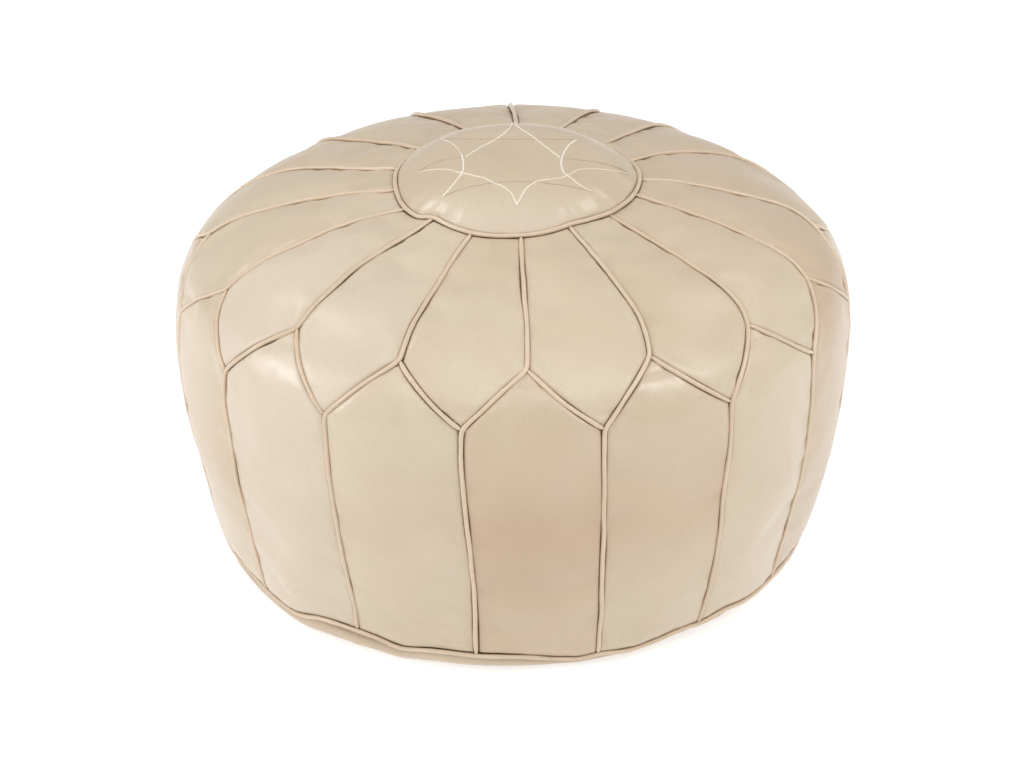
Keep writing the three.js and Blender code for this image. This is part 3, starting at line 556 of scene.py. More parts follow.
def leather(name, light, dark, crease=(148, 116, 88), seed=0.0, rough=0.4, coat=0.6, coat_rough=0.22, grain=1.0, depth=1.0):
    mat = bpy.data.materials.new(name)
    mat.use_nodes = True
    nt = mat.node_tree
    b = nt.nodes["Principled BSDF"]
    co = nt.nodes.new("ShaderNodeTexCoord").outputs["Object"]
    blot = ramp(nt, noise_tex(nt, co, 9, 3, 0.55, 0.3, seed), 0.34, 0.66)
    pink = ramp(nt, noise_tex(nt, co, 17, 2, 0.5, 0.0, seed + 7.3), 0.4, 0.72)
    fine = noise_tex(nt, co, 260, 4, 0.6, 0.0, seed + 1.7)
    colour = mix_colour(nt, blot, srgb(*light), srgb(*dark))
    # rosier above 0, paler below 0, by the tint attribute plus noise: part real tone variation, part painted light and
    # painted shade
    tint = nt.nodes.new("ShaderNodeAttribute")
    tint.attribute_name = "tint"
    drift = maths(nt, "ADD", tint.outputs["Fac"], maths(nt, "MULTIPLY", maths(nt, "SUBTRACT", noise_tex(nt, co, 6, 2, 0.5, 0.0, seed + 9.0), 0.5), 0.3))
    colour = mix_colour(nt, maths(nt, "MULTIPLY", drift, 1.0, True), colour, mix_colour(nt, blot, srgb(*ROSY), srgb(*ROSY2)))
    colour = mix_colour(nt, maths(nt, "MULTIPLY", drift, -1.0, True), colour, mix_colour(nt, blot, srgb(*PALE), srgb(*PALE2)))
    colour = mix_colour(nt, maths(nt, "MULTIPLY", pink, 0.2), colour, srgb(light[0], light[1] - 12, light[2] - 8))
    colour = mix_colour(nt, maths(nt, "MULTIPLY", ramp(nt, fine, 0.42, 0.7), 0.16), colour, srgb(dark[0] - 14, dark[1] - 16, dark[2] - 16))
    # leather cells
    vor = nt.nodes.new("ShaderNodeTexVoronoi")
    vor.voronoi_dimensions = "3D"
    vor.feature = "DISTANCE_TO_EDGE"
    vor.inputs["Scale"].default_value = 620
    warp = nt.nodes.new("ShaderNodeVectorMath")
    warp.operation = "ADD"
    wn = nt.nodes.new("ShaderNodeTexNoise")
    wn.inputs["Scale"].default_value = 300
    nt.links.new(co, wn.inputs["Vector"])
    sc_ = nt.nodes.new("ShaderNodeVectorMath")
    sc_.operation = "SCALE"
    sc_.inputs["Scale"].default_value = 0.0016
    nt.links.new(wn.outputs["Color"], sc_.inputs[0])
    nt.links.new(co, warp.inputs[0])
    nt.links.new(sc_.outputs[0], warp.inputs[1])
    nt.links.new(warp.outputs[0], vor.inputs["Vector"])
    cells = ramp(nt, vor.outputs["Distance"], 0.0, 0.22)
    # painted shade in and beside the seams, in the crease colour, broken up by noise
    at = nt.nodes.new("ShaderNodeAttribute")
    at.attribute_name = "seam"
    painted_seam_shade = maths(nt, "MULTIPLY", at.outputs["Fac"], maths(nt, "ADD", maths(nt, "MULTIPLY", fine, 0.7), 0.62), True)
    shade_breakup = ramp(nt, noise_tex(nt, co, 16, 2, 0.5, 0.0, seed + 2.2), 0.36, 0.62)
    painted_seam_shade = maths(nt, "MULTIPLY", painted_seam_shade, maths(nt, "ADD", maths(nt, "MULTIPLY", shade_breakup, 0.62), 0.3))
    colour = mix_colour(nt, painted_seam_shade, colour, srgb(*crease))
    colour = mix_colour(nt, maths(nt, "MULTIPLY", maths(nt, "SUBTRACT", 1.0, cells), 0.07), colour, srgb(*crease))
    nt.links.new(colour, b.inputs["Base Color"])
    r = maths(nt, "ADD", rough - 0.06, maths(nt, "MULTIPLY", noise_tex(nt, co, 40, 3, 0.6, 0.0, seed + 3.1), 0.12))
    r = maths(nt, "ADD", r, maths(nt, "MULTIPLY", maths(nt, "SUBTRACT", 1.0, cells), 0.08))
    nt.links.new(r, b.inputs["Roughness"])
    b.inputs["Coat Weight"].default_value = coat
    b.inputs["Coat Roughness"].default_value = coat_rough
    b.inputs["IOR"].default_value = 1.46
    # bump: creases over cells over pores
    crease_h = noise_tex(nt, co, 55, 5, 0.62, 0.8, seed + 5.0)
    b1 = nt.nodes.new("ShaderNodeBump")
    b1.inputs["Strength"].default_value = 0.16 * depth
    b1.inputs["Distance"].default_value = 0.0022
    nt.links.new(crease_h, b1.inputs["Height"])
    b2 = nt.nodes.new("ShaderNodeBump")
    b2.inputs["Strength"].default_value = 0.28 * grain
    b2.inputs["Distance"].default_value = 0.00022
    nt.links.new(cells, b2.inputs["Height"])
    nt.links.new(b1.outputs[0], b2.inputs["Normal"])
    nt.links.new(b2.outputs[0], b.inputs["Normal"])
    return mat


def cloth_mat(name, light, dark, pitch, rough=0.85, sheen=0.2):
    mat = bpy.data.materials.new(name)
    mat.use_nodes = True
    nt = mat.node_tree
    b = nt.nodes["Principled BSDF"]
    co = nt.nodes.new("ShaderNodeTexCoord").outputs["Object"]
    h = None
    for axis in ("X", "Y", "Z"):
        w = nt.nodes.new("ShaderNodeTexWave")
        w.bands_direction = axis
        w.inputs["Scale"].default_value = 0.31 / pitch
        w.inputs["Distortion"].default_value = 0.6
        w.inputs["Detail"].default_value = 1
        nt.links.new(co, w.inputs["Vector"])
        h = w.outputs["Fac"] if h is None else maths(nt, "ADD", h, w.outputs["Fac"])
    h = maths(nt, "DIVIDE", h, 3.0)
    blot = noise_tex(nt, co, 30, 3, 0.6)
    colour = mix_colour(nt, maths(nt, "ADD", maths(nt, "MULTIPLY", h, 0.5), maths(nt, "MULTIPLY", blot, 0.4)), srgb(*dark), srgb(*light))
    nt.links.new(colour, b.inputs["Base Color"])
    b.inputs["Roughness"].default_value = rough
    b.inputs["Sheen Weight"].default_value = sheen
    bp = nt.nodes.new("ShaderNodeBump")
    bp.inputs["Strength"].default_value = 0.5
    bp.inputs["Distance"].default_value = pitch * 0.3
    nt.links.new(h, bp.inputs["Height"])
    nt.links.new(bp.outputs[0], b.inputs["Normal"])
    return mat


def metal_mat(name, colour_a, colour_b, rough):
    mat = bpy.data.materials.new(name)
    mat.use_nodes = True
    nt = mat.node_tree
    b = nt.nodes["Principled BSDF"]
    co = nt.nodes.new("ShaderNodeTexCoord").outputs["Object"]
    n1 = noise_tex(nt, co, 400, 4, 0.6)
    n2 = noise_tex(nt, co, 2500, 2, 0.5, 0.0, 4.0)
    nt.links.new(mix_colour(nt, n1, srgb(*colour_a), srgb(*colour_b)), b.inputs["Base Color"])
    b.inputs["Metallic"].default_value = 1
    nt.links.new(maths(nt, "ADD", rough, maths(nt, "MULTIPLY", n1, 0.15)), b.inputs["Roughness"])
    bp = nt.nodes.new("ShaderNodeBump")
    bp.inputs["Strength"].default_value = 0.15
    bp.inputs["Distance"].default_value = 0.0001
    nt.links.new(n2, bp.inputs["Height"])
    nt.links.new(bp.outputs[0], b.inputs["Normal"])
    return mat


CREAM, CREAM2 = (207, 191, 166), (200, 183, 157)
ROSY, ROSY2 = (196, 169, 141), (188, 160, 131)
PALE, PALE2 = (216, 205, 189), (209, 197, 180)
petal_mats = [leather(f"cream_petal_leather_{i}", CREAM, CREAM2, seed=float(i * 11), coat=0.5, coat_rough=0.32) for i in (1, 2)]
side_mats = [leather(f"cream_side_leather_{i}", CREAM, CREAM2, seed=float(i * 17), coat_rough=0.25) for i in (1, 2)]
medallion_mat = leather("cream_medallion_leather", CREAM, CREAM2, seed=33.0, coat=0.5, coat_rough=0.2)
# The welts are a paler cream than the panels: part real paler worn piping leather, part painted highlight where they
# catch the light.
welt_mat = leather("cream_welt", (216, 196, 171), (207, 186, 159), seed=50.0, rough=0.42, grain=0.8, depth=0.5)
base_mat = leather("cream_base_leather", (202, 182, 155), (192, 171, 143), seed=70.0, rough=0.46)
silk_mat = cloth_mat("silk_thread", (248, 239, 224), (228, 215, 198), 0.0005, rough=0.38, sheen=0.4)
# A darker copy of the silk thread: painted shade on the sunk strokes.
shaded_silk_mat = cloth_mat("shaded_silk_thread", (192, 174, 154), (166, 148, 128), 0.0005, rough=0.6, sheen=0.1)
lining_mat = cloth_mat("cotton_lining", (222, 212, 192), (200, 188, 166), 0.0008)
fibre_mat = cloth_mat("loose_fibre", (244, 241, 233), (226, 220, 208), 0.004, rough=0.95)
tape_mat = cloth_mat("zip_tape_weave", (210, 192, 160), (188, 168, 136), 0.0007)
brass_mat = metal_mat("brass", (186, 150, 86), (150, 116, 62), 0.28)


def dress(o, *mats):
    for m_ in mats:
        o.data.materials.append(m_)


# ------------------------------------------------------------------ leather panels
GAP = 0.9 * MM  # a panel's hidden edge, under the welt
SIDE = 2.1 * MM  # where its face turns down beside the welt
LEATHER = 1.3 * MM
LIP = 2.1 * MM  # width of the edge that turns down into a seam
DEEP = 1.8 * MM
EDGE_STEPS = np.array([0, 0.65, 1.2, 1.6, 2.0, 2.5, 3.1, 3.9, 5.2, 7.4, 10.5]) * MM


def turned_edge(dist, lip=LIP, deep=DEEP):
    """How far the leather is below its face, at a distance from the seam's centre line."""
    e = np.clip(1 - (dist - SIDE) / lip, 0, 1)
    d = deep * (1 - np.sqrt(np.maximum(0, 1 - e**2.6)))
    return d + 0.5 * MM * np.clip((SIDE - dist) / (SIDE - GAP), 0, 1)


pinch = Waves(21, 0.05, 0.15)
# Side seams where the leather closes right over its welt, as angles.
CLOSED = (36.5, 329.6, 131.2, 212.6)


def closed(where):
    """1 on the seams listed in CLOSED, 0 elsewhere."""
    az_ = np.arctan2(where[..., 0], -where[..., 1]) / DEG
    c = 0
    for a in CLOSED:
        c = c + np.exp(-((((az_ - a + 180) % 360 - 180) / 2.5) ** 2))
    return c * np.clip((0.285 - where[..., 2]) / 0.04, 0, 1)


def closing(where):
    """How much nearer to the seam's centre line the leather's face comes, at places on the seam."""
    return np.minimum(np.clip(0.3 + 0.35 * pinch(where), 0, 0.75) + 0.6 * closed(where), 1.05) * MM


# Painted shade beside a seam: full at the seam's edge, fading away from it over width.
def painted_seam_shade(dist, width=0.9 * MM):
    return np.clip(np.exp(-np.maximum(dist - SIDE - 0.2 * MM, 0) / width), 0, 1)


def lift_of(points, dist, where, base_lift):
    """Height of the leather over the outline, from its stuffed shape, lumps, puckers and turned-down edges."""
    w = base_lift + 0.14 * MM * dents(points)
    dist = dist + closing(where)
    away = np.exp(-np.maximum(dist - SIDE, 0) / (8 * MM)) * np.clip((dist - SIDE) / (2.5 * MM), 0, 1)
    w = w + away * (0.3 * MM * ripple(where * 1.0) + 0.16 * MM * ripple(where * 1.7 + 0.3))
    return w - turned_edge(dist)


def steps(length, middle, start=True, end=True):
    """Places from 0 to 1 along a length: fine steps next to a seam, even ones between."""
    e = EDGE_STEPS * min(1, length / (EDGE_STEPS[-1] * (3.2 if start and end else 1.6))) / length
    lo, hi = (e[-1] if start else 0), (1 - e[-1] if end else 1)
    mid = np.linspace(lo, hi, middle)
    return np.concatenate([e[:-1] if start else [], mid, (1 - e[::-1])[1:] if end else []])


def between(left, right_, middle):
    """Places across each row from the left edge to the right one."""
    r = section((left[:, 1] + right_[:, 1]) / 2)[:, 0]
    width = np.hypot((right_[:, 0] - left[:, 0]) * r, right_[:, 1] - left[:, 1])
    return np.array([steps(max(w_, 1e-5), middle) for w_ in width])


ACROSS = 11
# Tint of each panel at its top, middle and bottom: rosier above 0, paler below. Part real tone variation, part painted
# light and shade: paler on the lit left panels and lighter near the tops, darker rosier middles as painted shade.
TINT = dict(
    petal=[(0.05, 0.0, 0.0), (0.0, 0.25, -0.1), (0.15, 0.25, -0.1), (0.4, 0.35, 0.8), (0.45, 0.4, 0.2), (0.25, 0.2, 0.1), (0.1, 0.3, 0.2), (0.0, 0.1, 0.35), (0.3, 0.2, 0.0), (0.2, 0.0, 0.15),
           (0.3, 0.2, 0.3), (0.1, 0.1, 0.0), (-0.15, 0.1, -0.25), (-0.1, -0.3, -0.6), (-0.1, -0.3, -0.4), (0.2, -0.15, -0.05)],
    side=[(0.25, 0.95, 0.55), (0.05, 0.7, 0.05), (-0.05, 0.1, 0.0), (0.8, 0.7, 0.4), (0.2, 0.35, 0.1), (0.0, 0.25, 0.3), (0.1, 0.0, 0.2), (0.5, 0.4, 0.2), (0.1, 0.7, 0.4), (0.0, 0.2, 0.0),
          (0.2, 0.3, 0.4), (0.0, 0.4, 0.2), (0.1, 0.2, 0.0), (0.0, 0.5, -0.1), (-0.4, -0.25, -0.3), (-0.15, 0.2, 0.0)])


def build_panel(kind, k):
    if kind == "petal":
        t1, t2 = steps(150 * MM, 24, True, False), np.linspace(0, 1, 17) ** 0.9
    else:
        t1, t2 = np.linspace(0, 1, 17) ** 1.1, steps(212 * MM, 34, False, True)
    t2 = t2 if t2[0] == 0 else np.concatenate([[0], t2[1:]])
    L, R_ = (petal_edges if kind == "petal" else side_edges)(k, t1, t2)
    a = len(t1)
    if kind == "petal":
        azs = np.linspace(R_[0, 0], L[0, 0], 20)
        end = np.stack([azs, medallion_line(azs)], 1)
        runs = [L[:a], L[a - 1:], R_[a - 1:][::-1], R_[:a][::-1], end]
        i = inset(runs, GAP)
        Li = np.concatenate([i[0], i[1][1:]])
        Ri = np.concatenate([i[3][::-1], i[2][::-1][1:]])
    else:
        azs = np.linspace(L[-1, 0], R_[-1, 0], 20)
        end = np.stack([azs, foot_line(azs)], 1)
        runs = [L[:a], L[a - 1:], end, R_[a - 1:][::-1], R_[:a][::-1]]
        i = inset(runs, GAP)
        Li = np.concatenate([i[0], i[1][1:]])
        Ri = np.concatenate([i[4][::-1], i[3][::-1][1:]])
    u = between(Li, Ri, ACROSS)
    az = Li[:, :1] + (Ri[:, :1] - Li[:, :1]) * u
    s = Li[:, 1:] + (Ri[:, 1:] - Li[:, 1:]) * u
    rows = az.shape[0]
    if kind == "petal":
        fade = np.clip(1 - t1 / 0.45, 0, 1) ** 1.5
        fade = np.concatenate([fade, np.zeros(rows - len(fade))])[:, None]
        s = s + (medallion_line(az) + GAP - s[0]) * fade
    else:
        fade = np.clip(1 - (1 - t2) / 0.45, 0, 1) ** 1.5
        fade = np.concatenate([np.zeros(rows - len(fade)), fade])[:, None]
        s = s + (foot_line(az) - GAP - s[-1]) * fade
    base = cover(az, s)
    dist, where = seam_field(base, seam_lines(*[np.asarray(r) for r in runs]))
    # the stuffed lift of this place, from the simulation
    tau = np.concatenate([t1, 1 + t2[1:]])
    if puffed is not None:
        g = puffed[(kind, k % N)]
        c1, c2 = (SIM_RAD, SIM_ARM) if kind == "petal" else (SIM_ARM, SIM_SIDE)
        row = np.where(tau <= 1, tau * c1, c1 + (tau - 1) * c2)
        lift = bicubic(g, np.broadcast_to(row[:, None], az.shape), u * SIM_COLS)
    else:
        lift = -SEAM_DIP + 3.2 * MM * (1 - np.exp(-(np.maximum(dist - GAP, 0) / (16 * MM)) ** 1.3))
    w = lift_of(base, dist, where, lift)
    outer = cover(az, s, w)
    inner = cover(az, s, w - LEATHER)
    h = np.broadcast_to(np.clip(np.linspace(0, 1, rows)[:, None] if kind == "petal" else (s - s[:1]) / (s[-1:] - s[:1]), 0, 1), az.shape)
    tint = np.interp(h, (0.16, 0.5, 0.84), TINT[kind][k])
    # seam: painted shade in the seam crevices, deeper on the closed seams; tint: part real tone, part painted light
    # and shade
    o = shell_object(f"{kind}_leather_{k + 1:02d}", outer, inner, {"seam": painted_seam_shade(dist + closing(where)) * (0.65 + 0.35 * closed(where)), "tint": tint}, first_point=kind == "side", last_point=kind == "petal")
    dress(o, (petal_mats if kind == "petal" else side_mats)[k % 2])
    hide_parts(f"{kind}_panel_{k + 1:02d}")
    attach(o, "pouf")
    return o


def seam_lines(*runs):
    return [cover(r[:, 0], r[:, 1], 0) for r in runs]


for k in range(N):
    build_panel("petal", k)
    build_panel("side", k)

# ------------------------------------------------------------------ medallion
PUFF = 9.5 * MM


def puff(az, s):
    f = np.clip(s / medallion_line(az), 0, 1)
    return PUFF * (1 - f**4)


def medallion_lift(az, s):
    p = cover(az, s)
    turn = (np.asarray(az) / DEG) % 360 - 180
    rear = 3.0 * MM * np.exp(-((turn / 55) ** 2 + ((np.asarray(s) / U - 0.27) / 0.1) ** 2) / 2)
    return puff(az, s) + rear + 0.25 * MM * dents(p)


MC = 288
edge = medallion_line(np.linspace(0, 2 * math.pi, MC, endpoint=False)) - GAP
f = np.array([steps(e_, 52, False, True) for e_ in edge]).T
MR = f.shape[0]
az = np.broadcast_to(np.linspace(0, 2 * math.pi, MC, endpoint=False), (MR, MC))
s = f * edge
base = cover(az, s)
dist = medallion_line(az) - s
where = cover(az, medallion_line(az))
w = medallion_lift(az, s)
away = np.exp(-np.maximum(dist - SIDE, 0) / (10 * MM)) * np.clip((dist - SIDE) / (2.5 * MM), 0, 1)
w = w + away * (0.35 * MM * ripple(where) + 0.2 * MM * ripple(where * 1.7 + 0.3))
w = w - SEAM_DIP * 0.6 * np.exp(-(dist - GAP) / (10 * MM)) - turned_edge(dist, 2.0 * MM, 2.0 * MM)
# seam: painted shade round the ring; tint: the front painted paler as painted light where it faces the light, the rest
# a rosier tone
o = shell_object("medallion_leather", cover(az, s, w), cover(az, s, w - LEATHER), {"seam": painted_seam_shade(dist) * 0.55, "tint": 0.25 - 0.6 * np.clip((-base[..., 1] / U - 0.15) / 0.2, 0, 1)}, first_point=True, wrap=True)
dress(o, medallion_mat)
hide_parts("medallion_panel")
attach(o, "pouf")

# ------------------------------------------------------------------ star embroidery
# The strokes, as angle and distance from the crown in shoulder radii, each with the weight of its
# thread; below 0 the thread is sunk into the leather and given a darker copy of the silk as painted shade.
STAR = [
    ([(179.5, 0.3391), (-170.9, 0.1577), (-151.6, 0.1205), (-124.0, 0.1145), (-98.9, 0.1282), (-83.6, 0.1528)], 1.0),
    ([(-83.6, 0.1528), (-87.4, 0.1961), (-88.4, 0.2397), (-86.5, 0.2791), (-83.3, 0.3117)], -0.6),
    ([(-83.3, 0.3117), (-79.8, 0.2769), (-74.4, 0.2424), (-65.3, 0.2147), (-57.2, 0.2062)], 0.65),
    ([(-57.2, 0.2062), (-46.7, 0.1941), (-39.1, 0.1903), (-27.6, 0.1905), (-17.5, 0.2061), (-9.3, 0.2202), (-2.9, 0.2447), (0.7, 0.2809), (2.1, 0.3102)], 1.1),
    ([(2.1, 0.3102), (5.1, 0.2769), (9.8, 0.2363), (17.9, 0.2085), (27.0, 0.1995), (36.4, 0.2062)], 1.1),
    ([(36.4, 0.2062), (45.8, 0.2152), (55.7, 0.2191), (65.5, 0.2229), (73.8, 0.2453), (80.6, 0.2891), (86.0, 0.3432), (89.9, 0.385)], 0.6),
    ([(90.4, 0.385), (90.9, 0.3428), (88.9, 0.2803), (85.4, 0.2206), (80.3, 0.1524)], -0.6),
    ([(80.3, 0.1524), (104.7, 0.1172), (144.3, 0.1218), (163.2, 0.1545), (175.0, 0.2058), (179.5, 0.3391)], 1.05),
    ([(-128.8, 0.3012), (-130.8, 0.2036), (-149.2, 0.1329), (169.5, 0.0969), (133.3, 0.1416), (122.4, 0.2435)], -0.6),
    ([(122.4, 0.2435), (114.6, 0.2016), (99.4, 0.1691), (79.1, 0.1583), (62.6, 0.1733), (52.7, 0.2041)], 1.2),
    ([(52.7, 0.2041), (52.2, 0.2289), (50.7, 0.2611), (50.8, 0.2956), (53.2, 0.3206)], 1.05),
    ([(-128.8, 0.3012), (-121.2, 0.2371), (-109.5, 0.1887), (-91.0, 0.1628)], 0.7),
    ([(-91.0, 0.1628), (-69.0, 0.169), (-54.8, 0.1958), (-48.4, 0.2384), (-45.0, 0.2824), (-43.8, 0.3236)], 1.2),
    ([(-43.8, 0.3236), (-41.1, 0.2955), (-36.6, 0.2633), (-28.2, 0.2309), (-17.5, 0.2061), (-1.3, 0.1927), (17.2, 0.1987), (32.6, 0.2265), (43.3, 0.2636), (47.9, 0.2871), (53.2, 0.3206)], -0.6),
]


def stitches(path, length, wide, tall, rise=0.15, sides=8, rings=7):
    """Overlapping stitches along a path of places on the medallion."""
    a_ = np.array(path, float)
    x, y = a_[:, 1] * U * np.sin(a_[:, 0] * DEG), -a_[:, 1] * U * np.cos(a_[:, 0] * DEG)
    c = np.concatenate([[0], np.cumsum(np.hypot(np.diff(x), np.diff(y)))])
    n = int(round(c[-1] / 0.0008))
    q = np.linspace(0, c[-1], n)
    x, y = hermite(c, x, q), hermite(c, y, q)
    az_, s_ = np.arctan2(x, -y), np.hypot(x, y)
    p = cover(az_, s_, medallion_lift(az_, s_) + tall * rise)
    nn = cover_normal(az_, s_)
    tt = np.gradient(p, axis=0)
    tt /= np.linalg.norm(tt, axis=1)[:, None]
    ss = np.cross(tt, nn)
    verts_, faces_ = [], []
    count = max(1, int(round(c[-1] / length)))
    for i in range(count):
        g0 = i / count - 0.07 / count
        g1 = (i + 1) / count + 0.07 / count
        start = len(verts_)
        wob = 0.00012 * math.sin(i * 2.4)
        for j in range(rings):
            h = j / (rings - 1)
            g = np.clip((g0 + (g1 - g0) * h) * (n - 1), 0, n - 1)
            i0 = int(min(g, n - 2))
            fr = g - i0
            P = p[i0] * (1 - fr) + p[i0 + 1] * fr
            fat = 0.25 + 0.75 * math.sin(math.pi * np.clip(h, 0.02, 0.98)) ** 0.55
            for m_ in range(sides):
                w_ = 2 * math.pi * m_ / sides
                verts_.append(P + ss[i0] * (math.cos(w_) * wide / 2 * fat + wob + 0.00014 * (h - 0.5)) + nn[i0] * (math.sin(w_) * tall / 2 * fat))
        for j in range(rings - 1):
            for m_ in range(sides):
                a0, b0 = start + j * sides + m_, start + j * sides + (m_ + 1) % sides
                faces_.append([a0, a0 + sides, b0 + sides, b0])
        faces_.append([start + m_ for m_ in range(sides)])
        faces_.append([start + (rings - 1) * sides + m_ for m_ in range(sides)][::-1])
    return verts_, faces_


verts_all, faces_all, sunk = [], [], []
for stroke, weight in STAR:
    deep = weight < 0
    v_, f_ = stitches(stroke, 0.0044, 0.0015 * abs(weight), 0.0006 if deep else 0.001, rise=0.05 if deep else 0.15)
    faces_all += [[x_ + len(verts_all) for x_ in q_] for q_ in f_]
    verts_all += v_
    sunk += [int(deep)] * len(f_)
o = mesh_object("star_thread", verts_all, faces_all)
dress(o, silk_mat, shaded_silk_mat)
for poly, m_ in zip(o.data.polygons, sunk):
    poly.material_index = m_
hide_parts("star_embroidery")
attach(o, "pouf")

# ------------------------------------------------------------------ welts
WELT = 1.85 * MM
WELT_LIFT = -2.15 * MM


def proud(az_, s_):
    """How far the welts stand up out of the taut leather round the back of the shoulder."""
    turn = (np.asarray(az_) / DEG - 178 + 180) % 360 - 180
    return 0.35 * MM + 2.1 * MM * np.exp(-((turn / 42) ** 2 + ((np.asarray(s_) / U - 0.86) / 0.2) ** 2) / 2)


def resample(path, step=0.0025):
    p = cover(path[:, 0], path[:, 1])
    l = np.concatenate([[0], np.cumsum(np.linalg.norm(np.diff(p, axis=0), axis=1))])
    n = max(4, int(round(l[-1] / step)))
    q = np.linspace(0, l[-1], n + 1)
    return np.stack([np.interp(q, l, path[:, 0]), np.interp(q, l, path[:, 1])], 1)


def smooth_path(path, turns, keep_ends=True):
    p = path.copy()
    for _ in range(turns):
        q = p.copy()
        q[1:-1] = (p[:-2] + 2 * p[1:-1] + p[2:]) / 4
        p = q
    return p


def tube_points(path, radius, lift, closed=False, sides=14, seed=0.0):
    az, s = path[:, 0], path[:, 1]
    base = cover(az, s)
    n = cover_normal(az, s)
    wob = wander(base + seed)
    centre = cover(az, s, lift + (proud(az, s) - 0.5 * closing(base)) * (not closed) + 0.12 * MM * wander(base * 1.3 + 4 + seed))
    if closed:
        t = np.roll(centre, -1, 0) - np.roll(centre, 1, 0)
    else:
        t = np.gradient(centre, axis=0)
    t /= np.linalg.norm(t, axis=1)[:, None]
    side = np.cross(t, n)
    side /= np.linalg.norm(side, axis=1)[:, None]
    lid = np.cross(side, t)
    ends = np.ones(len(path))
    if not closed:
        l = np.arange(len(path))
        ends = np.clip(np.minimum(l, len(path) - 1 - l) / 3, 0, 1) ** 0.5
    centre = centre + side * (0.16 * MM * wob * ends)[:, None]
    r = radius * (1 + 0.02 * girth(base + seed) + 0.03 * wander(base * 1.4 + seed))
    w = np.linspace(0, 2 * math.pi, sides, endpoint=False)
    # a cord in a folded strip: round on top, drawn in where it's stitched below
    prof = 1 - 0.16 * np.clip(-np.sin(w), 0, 1) ** 2
    ring_ = (np.cos(w) * prof)[None, :, None] * side[:, None, :] + (np.sin(w))[None, :, None] * lid[:, None, :]
    return centre[:, None, :] + ring_ * r[:, None, None], w


def tube_mesh(p, w, closed):
    R, C = p.shape[:2]
    verts = p.reshape(-1, 3)
    faces = []
    for i in range(R if closed else R - 1):
        for j in range(C):
            a, b = i * C + j, i * C + (j + 1) % C
            c, d = ((i + 1) % R) * C + (j + 1) % C, ((i + 1) % R) * C + j
            faces.append([a, d, c, b])
    if not closed:
        faces.append(list(range(C)))
        faces.append([(R - 1) * C + j for j in range(C)][::-1])
    # Painted shade on the underside of the welt, where it sinks between the panels.
    seam_ = 0.65 * np.broadcast_to(np.clip(-np.sin(w) * 1.15 + 0.02, 0, 1) ** 1.1, (R, C)).ravel()
    return verts, faces, seam_


def rounded_ends(p, radius_steps=3):
    """Draws the ends of an open tube in to a blunt point."""
    q = p.copy()
    c = q.mean(1, keepdims=True)
    for i, f_ in enumerate((0.45, 0.8, 0.95)):
        q[i] = c[i] + (q[i] - c[i]) * f_
        q[-1 - i] = c[-1 - i] + (q[-1 - i] - c[-1 - i]) * f_
    return q


def trim(path, start=0.0, end=0.0):
    p = cover(path[:, 0], path[:, 1])
    l = np.concatenate([[0], np.cumsum(np.linalg.norm(np.diff(p, axis=0), axis=1))])
    q = np.linspace(start, l[-1] - end, len(path))
    return np.stack([np.interp(q, l, path[:, 0]), np.interp(q, l, path[:, 1])], 1)


t = np.linspace(0, 1, 60)
for k in range(N):
    long = np.concatenate([radial(k, t), arm_left(k, t)[1:], upright(k - 1, t)[1:]])
    long = resample(trim(long, 1.2 * MM, 1.2 * MM), 0.0022)
    long = smooth_path(long, 5)
    short = resample(trim(arm_right(k, t), 0.4 * MM, 0.4 * MM), 0.0022)
    pieces, faces, seams_, start = [], [], [], 0
    for path, sd in ((long, 0.0), (short, 3.7)):
        p, w_ = tube_points(path, WELT, WELT_LIFT, seed=sd)
        v_, f_, s_ = tube_mesh(rounded_ends(p), w_, False)
        pieces.append(v_)
        faces += [[x + start for x in q] for q in f_]
        seams_.append(s_)
        start += len(v_)
    o = mesh_object(f"seam_welt_{k + 1:02d}", np.concatenate(pieces), faces, {"seam": np.concatenate(seams_)})
    dress(o, welt_mat)
    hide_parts(f"seam_piping_{k + 1:02d}")
    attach(o, "pouf")

for name, line, node_name, lift in (("medallion_welt", medallion_line, "medallion_piping", -1.2 * MM), ("base_welt", foot_line, "base_piping", -1.2 * MM)):
    azs = np.linspace(0, 2 * math.pi, 720, endpoint=False)
    p, w_ = tube_points(np.stack([azs, line(azs)], 1), WELT * 1.02, lift, closed=True, seed=9.0)
    v_, f_, s_ = tube_mesh(p, w_, True)
    o = mesh_object(name, v_, f_, {"seam": s_})
    dress(o, welt_mat)
    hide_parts(node_name)
    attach(o, "pouf")

# ------------------------------------------------------------------ base
FLAT = ALONG[-1]
CH_X, CH_Y, EDGE_Y, RISE = 190 * MM, 14 * MM, 5 * MM, 4.3 * MM


def base_height(x, y):
    """(height of the base leather's outer face, distance to the bottom seam)"""
    r, az_ = np.hypot(x, y), np.arctan2(x, -y)
    rim_s = foot_line(az_)
    rim_r = section(rim_s)[..., 0]
    ss = np.linspace(ALONG[-4], FLAT, 80)
    rr = section(ss)
    order = np.argsort(rr[:, 0])
    z = np.interp(r, rr[order, 0], rr[order, 1], left=0.0)
    s_here = np.interp(r, rr[order, 0], ss[order], left=FLAT)
    return np.maximum(z, 0), np.where(r < rr[:, 0].min(), (rr[:, 0].min() - r) + FLAT - rim_s, s_here - rim_s)


def smoothstep(a, b, x):
    t_ = np.clip((x - a) / (b - a), 0, 1)
    return t_ * t_ * (3 - 2 * t_)


